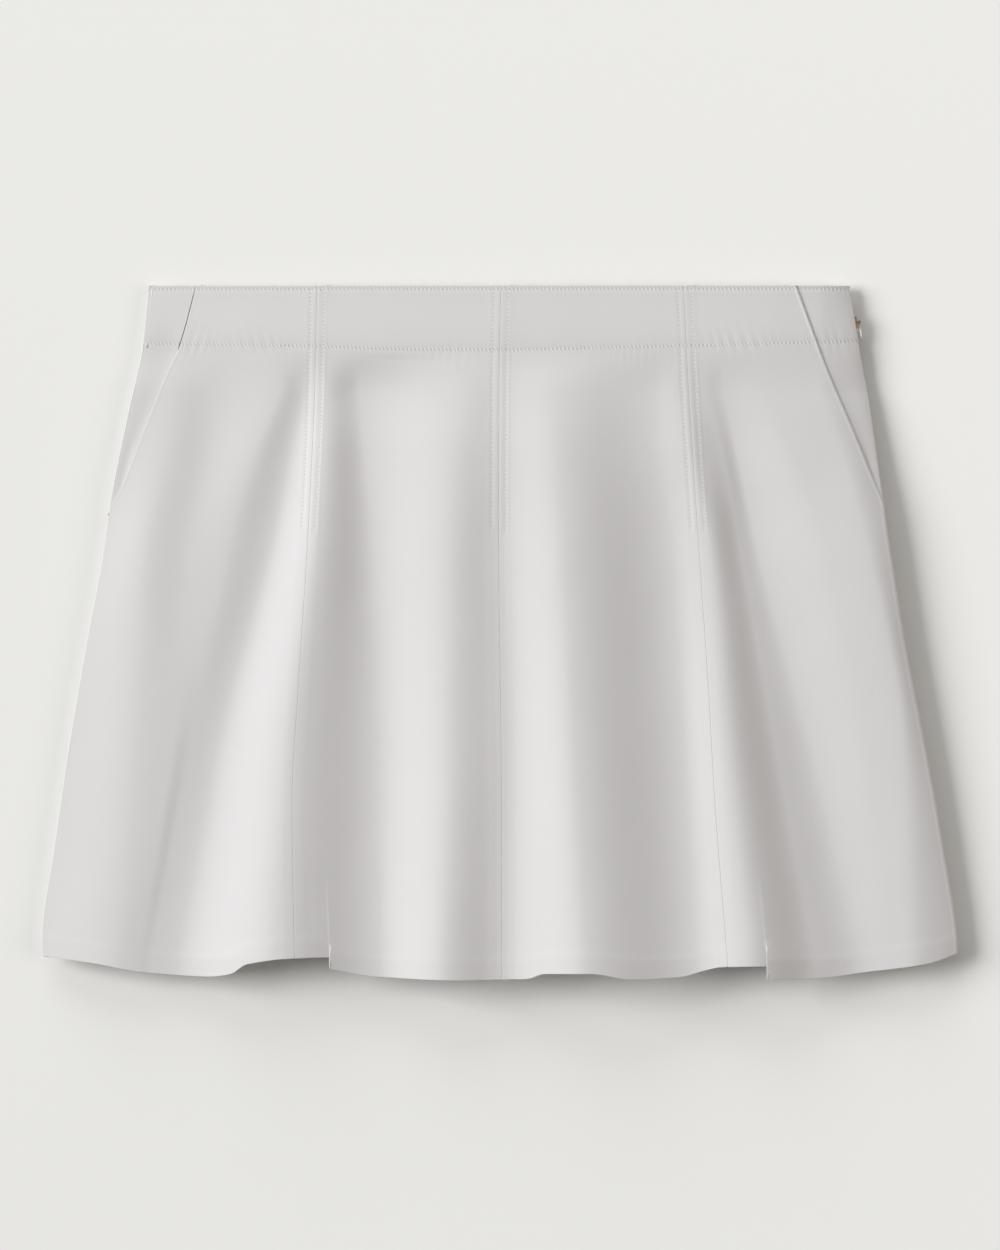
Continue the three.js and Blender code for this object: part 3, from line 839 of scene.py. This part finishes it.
def woven_cloth():
    """Twill: diagonal wales from sin(2 pi wales (u + v)), crossed by finer threads, with slubs and mottling.

    Wales are counted in a UV unit, and the height is in millimetres.
    """
    tree, given, result = new_group("Woven cloth", FINISH, Place=None, Wales=180.0, Colour=(0.6, 0.6, 0.6, 1),
                                    Shade=(0.5, 0.5, 0.5, 1), Mottling=0.3, Roughness=0.8)
    place, wales = given["Place"], given["Wales"]
    x, y, _ = add_node(tree, "SeparateXYZ", Vector=place).outputs
    wale = calc("SINE", calc("MULTIPLY", calc("MULTIPLY", calc("ADD", x, y), wales), 2 * math.pi))
    weft = calc("SINE", calc("MULTIPLY", calc("MULTIPLY", x, wales), 4 * math.pi))
    weave = calc("MULTIPLY_ADD", wale, 0.6, calc("MULTIPLY", weft, 0.4))
    slub = noise(add_node(tree, "Mapping", Vector=place, Scale=(150, 9, 1)).outputs[0], 1.0, 2.0)
    fuzz = noise(place, 300.0, 2.0)
    share = calc("MULTIPLY_ADD", noise(place, 5.0, 3.0), given["Mottling"], 0.35)
    share = calc("MULTIPLY_ADD", slub, 0.35, share)
    share = calc("MULTIPLY_ADD", weave, 0.1, share)
    put(result["Colour"], mix(share, given["Colour"], given["Shade"]))
    put(result["Roughness"], calc("MULTIPLY_ADD", fuzz, 0.12, given["Roughness"]))
    height = calc("MULTIPLY_ADD", slub, 0.012, calc("MULTIPLY", weave, 0.005))
    put(result["Height"], calc("MULTIPLY_ADD", fuzz, 0.012, height))
    return tree


def handled_finish():
    """A hard finish that has been handled: fine scratches and smudges in the colour, roughness and height."""
    tree, given, result = new_group("Handled finish", FINISH, Place=None, Colour=(0.5, 0.5, 0.5, 1),
                                    Worn_colour=(0.4, 0.4, 0.4, 1), Wear=0.4, Roughness=0.35)
    place = given["Place"]
    smudge = add_node(tree, "TexNoise", Vector=place, Scale=900.0, Detail=3.0).outputs["Fac"]
    along = add_node(tree, "Mapping", Vector=place, Scale=(6000, 700, 6000), Rotation=(0, 0, 0.5)).outputs[0]
    scratch = add_node(tree, "TexNoise", Vector=along, Scale=1.0, Detail=3.0, Roughness=0.7).outputs["Fac"]
    put(result["Colour"], mix(calc("MULTIPLY", smudge, given["Wear"]), given["Colour"], given["Worn colour"]))
    rough = calc("MULTIPLY_ADD", calc("SUBTRACT", scratch, 0.5), 0.25, given["Roughness"])
    put(result["Roughness"], rough)
    put(result["Height"], scratch)
    return tree


def group_node(tree, name, maker, place):
    """A node that shows a shared group at a place. The group is made when it is first asked for."""
    used = tree.nodes.new("ShaderNodeGroup")
    used.node_tree = bpy.data.node_groups.get(name) or maker()
    put(used.inputs["Place"], place)
    return used


def plain_material(name, constants):
    """A Principled material with some plain values, and the Principled node's inputs."""
    material = bpy.data.materials.new(name)
    material.use_nodes = True
    shader = material.node_tree.nodes["Principled BSDF"].inputs
    for slot, value in constants.items():
        shader[slot].default_value = value
    return material, shader


def surface_material(name, group, place_from, values, bump_unit, constants):
    """A material whose colour, roughness and height come from a shader node group."""
    material, shader = plain_material(name, constants)
    tree = material.node_tree
    used = group_node(tree, *group, tree.nodes.new("ShaderNodeTexCoord").outputs[place_from])
    for slot, value in values.items():
        used.inputs[slot].default_value = value
    put(shader["Base Color"], used.outputs["Colour"])
    put(shader["Roughness"], used.outputs["Roughness"])
    relief = add_node(tree, "Bump", Strength=1.0, Distance=bump_unit, Height=used.outputs["Height"])
    put(shader["Normal"], relief.outputs["Normal"])
    return material


def add_ripples(material, names):
    """Add the stitches' ripples to a cloth material's height, one set of rows for each named attribute."""
    tree = material.node_tree
    relief = next(node for node in tree.nodes if node.type == "BUMP").inputs["Height"]
    height = relief.links[0].from_socket
    for name in names:
        places = tree.nodes.new("ShaderNodeAttribute")
        places.attribute_name = name
        ripples = group_node(tree, "Stitched ripples", stitched_ripples, places.outputs["Vector"])
        height = calc("ADD", height, ripples.outputs["Height"])
    put(relief, height)


def shaded(colour, factor):
    return tuple(channel * factor for channel in colour[:3]) + (1.0,)


def cloth_material(name, colour, wales, mottling, roughness, sheen=0.1, rows=()):
    made = bpy.data.materials.get(name)
    if made:
        return made
    values = {"Wales": wales, "Colour": shaded(colour, 1), "Shade": shaded(colour, 0.93),
              "Mottling": mottling, "Roughness": roughness}
    constants = {"Specular IOR Level": 0.2, "Sheen Weight": sheen, "Sheen Roughness": 0.5}
    made = surface_material(name, ("Woven cloth", woven_cloth), "UV", values, MM, constants)
    add_ripples(made, rows)
    return made


def hard_material(name, colour, worn, roughness, metallic):
    """A hard finish whose worn places keep this share of its colour."""
    values = {"Colour": shaded(colour, 1), "Worn colour": shaded(colour, worn), "Roughness": roughness}
    return surface_material(name, ("Handled finish", handled_finish), "Object", values, SCRATCH_DEPTH,
                            {"Metallic": metallic})


# ---- Settings.

def colour_setting(name, description, default):
    return FloatVectorProperty(name=name, description=description, default=default, min=0, max=1,
                               subtype="COLOR")


def length_setting(name, description, default, least):
    return FloatProperty(name=name, description=description, default=default, min=least, precision=5,
                         unit="LENGTH")


class SkortClothSettings(bpy.types.PropertyGroup):
    """Cloth, thread and zip finishes."""

    thickness: length_setting("Cloth thickness", "Thickness of one layer of the skirt cloth", 0.00028, 0.0002)
    edge_radius: length_setting("Folded edge", "Radius of the fold at a seam", 0.0003, 0.00025)
    shell_colour: colour_setting("Skirt", "Colour of the skirt cloth", (0.652, 0.631, 0.621))
    shorts_colour: colour_setting("Inner shorts", "Colour of the inner shorts", (0.62, 0.595, 0.58))
    thread_colour: colour_setting("Thread", "Colour of the sewing thread", (0.69, 0.67, 0.66))
    zip_colour: colour_setting("Zip metal", "Colour of the zip's slider", (0.68, 0.47, 0.28))


class SkortStageSettings(bpy.types.PropertyGroup):
    """Floor, light and camera."""

    floor_colour: colour_setting("Floor", "Colour of the plain floor", (0.83, 0.82, 0.79))
    brightness: FloatProperty(
        name="Brightness", description="Light on the level floor, in watts for each square metre",
        default=3.4, min=0)
    fill_share: FloatProperty(
        name="Fill", description="Share of the light that comes evenly from all round", default=0.15, min=0,
        max=1, subtype="FACTOR")
    camera_height: length_setting("Camera height", "Height of the camera over the floor", 4.0, 0.5)


# ---- Operators.

WAIST_EDGE = {"radius": 0.45, "turned": 36, "margin": 6, "steps": 9, "set_in": 0.8}
BACK_WAIST_EDGE = {"radius": 0.35, "turned": 36, "margin": 6, "steps": 7, "set_in": 0.8}
HEM_EDGE = {"radius": 0.3, "turned": 12, "margin": 6, "steps": 9}
HIP_FOOT_EDGE = {"radius": 0.4, "turned": 1, "margin": 3, "steps": 5}
SHORTS_EDGE = {"radius": 0.42, "turned": 4, "margin": 6, "steps": 7}
SHORTS_ENDS = (9, 16)  # turned under at the shorts' waist and leg openings
SHORTS_GAP = 0.1  # half of the gap between the shorts' halves, beyond the table's
SHORTS_THICKNESS = 0.0003  # metres
SEAM_ALLOWANCE, POCKET_TURN = 6, 3


def side_edge(turned, margin, steps):
    """A panel's edge at a seam or a pocket, folded as tightly as the settings say."""
    return {"radius": bpy.context.scene.skort_cloth.edge_radius / MM, "turned": turned, "margin": margin,
            "steps": steps}


def skirt_panel(names, grid, facing, stitch_line, seams=False):
    """Make and declare one panel of the skirt's own cloth."""
    settings = bpy.context.scene.skort_cloth
    piece = cloth_panel(names[0], grid, facing, settings.thickness)
    mark_rows(piece, grid[1], stitch_line, seams)
    material = cloth_material("Skirt cloth", settings.shell_colour, wales=180, mottling=0.25, roughness=0.85,
                              rows=(ROWS_ACROSS, ROWS_DOWN))
    declare_cloth(piece, names[1], material)


def offset_line(line, by):
    return lambda down: line(down) + by


FRONT = (front_surface, front_relief, 1)
BACK = (back_surface, back_relief, -1)

# Each gore's name and node, how many columns it has, and where they crowd together.
GORES = (
    ("gore_side_left", "front_side_left", 76, ()),
    ("gore_centre_left", "front_center_left", 92, ((0.15, 0.055, 3.2),)),
    ("gore_centre_right", "front_center_right", 76, ()),
    ("gore_side_right", "front_side_right", 96, ((0.16, 0.055, 3.2),)),
)


class SKORT_OT_gores(bpy.types.Operator):
    """Make the four front gores."""

    bl_idname = "skort.gores"
    bl_label = "Front gores"

    def execute(self, context):
        seam = side_edge(SEAM_ALLOWANCE, margin=8, steps=18)
        side = side_edge(POCKET_TURN, margin=5, steps=16)
        outer_left = lambda down: np.maximum(POCKET_LINES["left"](down), left_side(down))
        outer_right = lambda down: np.minimum(POCKET_LINES["right"](down), right_side(down))
        lines = (outer_left, *SEAM_LINES.values(), outer_right)
        places = spaced(208, ((FACING_DEPTH / HEM_SIDE, 0.012, 1.4), (1, 0.12, 0.35)))
        rows = strips(WAIST_EDGE, places, HEM_EDGE)
        for number, (*names, count, crowds) in enumerate(GORES):
            left_edge = seam if number else side
            right_edge = seam if number < len(GORES) - 1 else side
            first = offset_line(lines[number], SEAM_SHARE if number else 0)
            last = offset_line(lines[number + 1], -SEAM_SHARE if right_edge is seam else 0)
            columns = strips(left_edge, spaced(count, crowds), right_edge)
            grid = panel_points(FRONT, first, last, hem_down, columns, rows, hem_turn_share)
            hem = hem_down(np.linspace(first(HEM_SIDE), last(HEM_SIDE), 50))
            cut = panel_cut(first, last, HEM_SIDE, left_edge["turned"] + right_edge["turned"],
                            np.max(hem) + WAIST_EDGE["turned"] + HEM_EDGE["turned"])
            skirt_panel(names, grid, 1, facing_down, seams=True)
        return {"FINISHED"}


HIP_STEP = 0.66  # the hip pieces lie this much lower, under the pocket edges
HIP_OVERLAP = 9  # and run this far under them
HIP_END = {"left": 135, "right": 133}  # and end this far down
LEFT_GROOVE = 0.4  # width of the open groove between the left hip piece and its gore, within the faced waist


def hip_cloth(side):
    """The front's cloth, lowered under the pocket edge. On the left the two are level in the faced waist."""
    def surface(across, down):
        point = front_surface(across, down)
        begins = smooth(down, 5, 37) if side == "left" else 1
        reach = 18 - 12 * smooth(down, 40, 110)
        point[..., 2] -= HIP_STEP * begins * smooth(inset_at(across, down), 0, reach)
        return point
    return surface, hip_relief, 1


class SKORT_OT_hips(bpy.types.Operator):
    """Make the two hip pieces that show beyond the slanted pocket edges."""

    bl_idname = "skort.hips"
    bl_label = "Hip pieces"

    def execute(self, context):
        seam_side = side_edge(POCKET_TURN, margin=6, steps=16)
        under = side_edge(POCKET_TURN, margin=5, steps=9)
        pocket = offset_line(POCKET_LINES["left"], -LEFT_GROOVE)
        left_inner = lambda down: pocket(down) + HIP_OVERLAP * smooth(down, 37, 46)
        hips = (
            ("left", left_side, left_inner, seam_side, under),
            ("right", offset_line(POCKET_LINES["right"], -HIP_OVERLAP), right_side, under, seam_side),
        )
        rows = strips(WAIST_EDGE, spaced(100, ((0.3, 0.03, 1.4),)), HIP_FOOT_EDGE)
        for side, first, last, left_edge, right_edge in hips:
            end = HIP_END[side]
            columns = strips(left_edge, spaced(26), right_edge)
            grid = panel_points(hip_cloth(side), first, last, level(end), columns, rows)
            cut = panel_cut(first, last, end, 2 * POCKET_TURN, end + WAIST_EDGE["turned"], samples=100)
            skirt_panel((f"hip_cloth_{side}", f"hip_{side}"), grid, 1, facing_down)
        return {"FINISHED"}


class SKORT_OT_back(bpy.types.Operator):
    """Make the two back panels, with a seam down the middle."""

    bl_idname = "skort.back"
    bl_label = "Back panels"

    def execute(self, context):
        side_seam = side_edge(POCKET_TURN, margin=24, steps=30)
        middle = side_edge(SEAM_ALLOWANCE, margin=8, steps=8)
        halves = (
            ("left", left_side, level(-SEAM_SHARE), side_seam, middle),
            ("right", level(SEAM_SHARE), right_side, middle, side_seam),
        )
        rows = strips(BACK_WAIST_EDGE, spaced(92, ((FACING_DEPTH / BACK_HEM, 0.02, 1.5),)),
                      HEM_EDGE | {"steps": 7})
        length = BACK_HEM + BACK_WAIST_EDGE["turned"] + HEM_EDGE["turned"]
        for side, first, last, left_edge, right_edge in halves:
            columns = strips(left_edge, spaced(50), right_edge)
            grid = panel_points(BACK, first, last, level(BACK_HEM), columns, rows)
            cut = panel_cut(first, last, HEM_SIDE, SEAM_ALLOWANCE + POCKET_TURN, length)
            skirt_panel((f"back_cloth_{side}", f"back_{side}"), grid, -1, level(FACING_DEPTH))
        return {"FINISHED"}


class SKORT_OT_shorts(bpy.types.Operator):
    """Make the inner shorts: a front and a back layer, each in two halves."""

    bl_idname = "skort.shorts"
    bl_label = "Inner shorts"

    def execute(self, context):
        colour = context.scene.skort_cloth.shorts_colour
        material = cloth_material("Shorts cloth", colour, wales=90, mottling=0.2, roughness=0.86)
        inner = down_curve(SHORTS["down"], SHORTS["inner"])
        outer = down_curve(SHORTS["down"], SHORTS["outer"])
        start, length = SHORTS["down"][0], SHORTS["down"][-1] - SHORTS["down"][0]
        halves = (
            ("left", lambda down: -outer(down + start), lambda down: -inner(down + start) - SHORTS_GAP),
            ("right", lambda down: inner(down + start) + SHORTS_GAP, lambda down: outer(down + start)),
        )
        columns = strips(SHORTS_EDGE, spaced(30), SHORTS_EDGE)
        waist, leg = ({**SHORTS_EDGE, "turned": turned, "margin": 5, "steps": 6} for turned in SHORTS_ENDS)
        rows = strips(waist, spaced(46), leg)
        for layer, height in SHORTS_LAYER.items():
            facing = 1 if layer == "front" else -1
            cloth = (level_surface(height, start), shorts_relief, facing)
            for side, first, last in halves:
                grid = panel_points(cloth, first, last, level(length), columns, rows)
                piece = cloth_panel(f"shorts_cloth_{layer}_{side}", grid, facing, SHORTS_THICKNESS)
                turned = 2 * SHORTS_EDGE["turned"]
                cut = panel_cut(first, last, length, turned, length + sum(SHORTS_ENDS), samples=100)
                declare_cloth(piece, f"shorts_{layer}_{side}",
                              material)
        return {"FINISHED"}


def level_surface(height, start):
    """A flat layer at one height, its downs counted from the shorts' own waist."""
    def surface(across, down):
        across, down = as_grids(across, down)
        return np.stack([across, TOP - start - down, np.full_like(across, height)], -1)
    return surface


def shorts_relief(across, down):
    return 0.05 * np.sin(across / 11.0 + down / 40.0) * np.sin(down / 21.0)


FINE_ACROSS = np.linspace(-230, 230, 2400)


class SKORT_OT_stitches(bpy.types.Operator):
    """Sew the rows of stitches at the waist, the facing and beside the front seams."""

    bl_idname = "skort.stitches"
    bl_label = "Stitches"

    def execute(self, context):
        for name, line in (("waist", level(TOP_STITCH_DOWN)), ("facing", facing_down)):
            rows = [front_row(line(FINE_ACROSS))]
            for side in ("left", "right"):
                across = hip_span(side)
                rows.append(stitches_along(hip_cloth(side), across, line(across), across))
            thread_piece(f"stitches_{name}", rows)
        seams = []
        downs = np.linspace(1.5, SEAM_STITCH_END, 600)
        for side, line in SEAM_LINES.items():
            low, high = SEAM_ROWS[side]
            for row in (low, high):
                seams.append(stitches_along(FRONT, line(downs) + row, downs, downs))
            bar = line(SEAM_STITCH_END) + np.linspace(low - 1.6, high + 1.2, 60)
            seams.append(stitches_along(FRONT, bar, SEAM_STITCH_END, bar))
        thread_piece("stitches_seams", seams)
        across = np.linspace(-200, 200, 1600)
        back = [stitches_along(BACK, across, down, across) for down in (TOP_STITCH_DOWN, FACING_DEPTH)]
        thread_piece("stitches_back", back)
        return {"FINISHED"}


def front_row(down):
    """Stitches across the four gores, between the two pocket edges."""
    first, last = POCKET_LINES["left"](down) + 1.6, POCKET_LINES["right"](down) - 1.8
    inside = (FINE_ACROSS > first) & (FINE_ACROSS < last)
    across = FINE_ACROSS[inside]
    return stitches_along(FRONT, across, down[inside], across)


def hip_span(side):
    """Where a row of stitches crosses a hip piece."""
    if side == "left":
        return np.linspace(left_side(TOP_STITCH_DOWN) + 2, POCKET_LINES["left"](FACING_DEPTH) - 1, 200)
    return np.linspace(POCKET_LINES["right"](FACING_DEPTH) + 1, right_side(TOP_STITCH_DOWN) - 2, 200)


class SKORT_OT_zip(bpy.types.Operator):
    """Finish the concealed zip: its tape, coil, slider and pull."""

    bl_idname = "skort.zip"
    bl_label = "Zip"

    def execute(self, context):
        cloth = context.scene.skort_cloth
        brass = hard_material("Brushed brass", cloth.zip_colour, worn=0.55, roughness=0.36, metallic=1)
        paint = hard_material("Painted pull", cloth.thread_colour, worn=0.8, roughness=0.4, metallic=0)
        for node, material in {"zip_slider": brass, "zip_pull": paint}.items():
            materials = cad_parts[node].data.materials
            materials.clear()
            materials.append(material)
        tape = cloth_material("Zip tape", cloth.shorts_colour, wales=120, mottling=0.2, roughness=0.8)
        make_zip_tape(tape)
        return {"FINISHED"}


TAPE_INSET, TAPE_WIDTH, TAPE_THICKNESS = 3.0, 9.0, 0.0004
COIL_RISE, COIL_PITCH = 0.28, 1.4


def make_zip_tape(material):
    """The tape runs inside the side seam, halfway between back and front, with a coil along its edge."""
    low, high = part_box("zip_tape")
    downs = np.linspace(TOP - high.y / MM, TOP - low.y / MM, 320)[:, None]
    insets = np.array([0, 0.15, 1.2, 1.5, 3, 4.5, 6, 7.5, 8.8, TAPE_WIDTH])[None, ::-1]
    across = right_side(downs) - TAPE_INSET - insets
    front, _, _ = hip_cloth("right")
    points = (back_surface(across, downs) + front(across, downs)) / 2
    turns = 0.6 + 0.4 * np.cos(2 * np.pi * downs / COIL_PITCH)
    points[..., 2] += COIL_RISE * bell(insets - 0.8, 0.45) * turns
    places = np.stack(np.broadcast_arrays(insets, downs), -1)
    piece = cloth_panel("zip_tape_cloth", (points, places), 1, TAPE_THICKNESS)
    stand_in(piece, "zip_tape", material)


class SKORT_OT_stage(bpy.types.Operator):
    """Set out the plain floor, the soft light and the camera."""

    bl_idname = "skort.stage"
    bl_label = "Stage"

    def execute(self, context):
        stage = context.scene.skort_stage
        make_floor(stage)
        make_lights(context.scene, stage)
        make_camera(context.scene, stage)
        context.scene.view_settings.view_transform = "Standard"
        return {"FINISHED"}


FLOOR_HALF = 12.0  # half of the floor's side, in metres
FLOOR_PAINTED_FALLOFF = 0.6  # painted shade and painted light: the floor's colour is darker towards the key light and lighter away from it, by this share of its range for each metre, to even out the lamps' falloff
FLOOR_BELOW = 0.0002  # the floor lies this far under the part


def make_floor(stage):
    mesh = bpy.data.meshes.new("floor")
    corners = [(x * FLOOR_HALF, y * FLOOR_HALF, CAD_LOW.z - FLOOR_BELOW)
               for x, y in ((-1, -1), (1, -1), (1, 1), (-1, 1))]
    mesh.from_pydata(corners, [], [(0, 1, 2, 3)])
    material, shader = plain_material("Floor paper", {"Specular IOR Level": 0.1, "Roughness": 0.9})
    tree = material.node_tree
    place = tree.nodes.new("ShaderNodeTexCoord").outputs["Object"]
    x, _, _ = add_node(tree, "SeparateXYZ", Vector=place).outputs
    # Painted shade and painted light: the floor's colour runs from darker on the key light's side to lighter
    # on the far side, against the lamps' falloff, with a faint even grain from the noise.
    share = calc("MULTIPLY_ADD", noise(place, 40.0, 4.0), 0.02, calc("MULTIPLY_ADD", x, FLOOR_PAINTED_FALLOFF, 0.5))
    light, dark = shaded(stage.floor_colour, 1.1), shaded(stage.floor_colour, 0.9)
    put(shader["Base Color"], mix(share, dark, light))
    mesh.materials.append(material)
    add_object("floor", mesh)


# Soft square lamps: direction from the left towards the waist, height, distance, size, share of the light
# that reaches the level floor, and warmth of the colour. Angles are degrees and lengths metres.
LAMPS = table(
    "turn elevation distance size share warmth",
    (12, 32.5, 10.0, 5.8, 0.59, -0.018),
    (75, 20, 10.0, 6.0, 0.13, -0.04),
    (180, 38, 10.0, 6.0, 0.13, 0.04),
)
FILL_WARMTH = 0.035  # warmth of the light from all round


def light_colour(warmth):
    return (1 + warmth, 1.0, 1 - warmth)


def make_lights(scene, stage):
    """Even light from all round, and lamps. A lamp's power is share pi distance^2 / sin(elevation)."""
    world = bpy.data.worlds.new("Studio")
    scene.world = world
    world.use_nodes = True
    background = world.node_tree.nodes["Background"].inputs
    background["Color"].default_value = (*light_colour(FILL_WARMTH), 1.0)
    background["Strength"].default_value = stage.brightness * stage.fill_share / math.pi
    for number, (turn, elevation, distance, size, share, warmth) in enumerate(zip(*LAMPS.values()), 1):
        light = bpy.data.lights.new(f"Lamp {number}", "AREA")
        turn, elevation = math.radians(turn), math.radians(elevation)
        light.shape = "SQUARE"
        light.size = size
        light.color = light_colour(warmth)
        light.energy = stage.brightness * share * math.pi * distance**2 / math.sin(elevation)
        along = math.cos(elevation)
        towards = Vector((-along * math.cos(turn), along * math.sin(turn), math.sin(elevation)))
        lamp = add_object(light.name, light)
        lamp.location = towards * distance
        lamp.rotation_mode = "QUATERNION"
        lamp.rotation_quaternion = towards.to_track_quat("Z", "Y")


VIEW_HEIGHT = 0.73125  # height of the view on the floor
CAMERA_UP = 0.0038  # the view's centre is this far towards the waist


def make_camera(scene, stage):
    data = bpy.data.cameras.new("Camera")
    data.sensor_width = 36.0
    data.lens = data.sensor_width * stage.camera_height / VIEW_HEIGHT
    data.clip_end = 100.0
    scene.camera = add_object("Camera", data)
    scene.camera.location = (0.0, CAMERA_UP, stage.camera_height)


# ---- Panel and registration.

class SKORT_PT_panel(bpy.types.Panel):
    """Steps and settings of the skort."""

    bl_idname = "SKORT_PT_panel"
    bl_label = "Flared Skort"
    bl_space_type = "VIEW_3D"
    bl_region_type = "UI"
    bl_category = "Skort"

    def draw(self, context):
        layout = self.layout
        for operator in OPERATORS:
            layout.operator(operator.bl_idname)
        for group in (context.scene.skort_cloth, context.scene.skort_stage):
            box = layout.box()
            for name in group.__annotations__:
                box.prop(group, name)


OPERATORS = (
    SKORT_OT_stage,
    SKORT_OT_gores,
    SKORT_OT_hips,
    SKORT_OT_back,
    SKORT_OT_shorts,
    SKORT_OT_zip,
    SKORT_OT_stitches,
)
SETTINGS = {"skort_cloth": SkortClothSettings, "skort_stage": SkortStageSettings}


def register():
    for settings in SETTINGS.values():
        bpy.utils.register_class(settings)
    for name, settings in SETTINGS.items():
        setattr(bpy.types.Scene, name, PointerProperty(type=settings))
    for made in (*OPERATORS, SKORT_PT_panel):
        bpy.utils.register_class(made)


def unregister():
    for made in reversed((*OPERATORS, SKORT_PT_panel)):
        bpy.utils.unregister_class(made)
    for name, settings in SETTINGS.items():
        delattr(bpy.types.Scene, name)
        bpy.utils.unregister_class(settings)


def main():
    register()
    bpy.ops.skort.stage()
    bpy.ops.skort.gores()
    bpy.ops.skort.hips()
    bpy.ops.skort.back()
    bpy.ops.skort.shorts()
    bpy.ops.skort.zip()
    bpy.ops.skort.stitches()


if __name__ == "__main__":
    main()
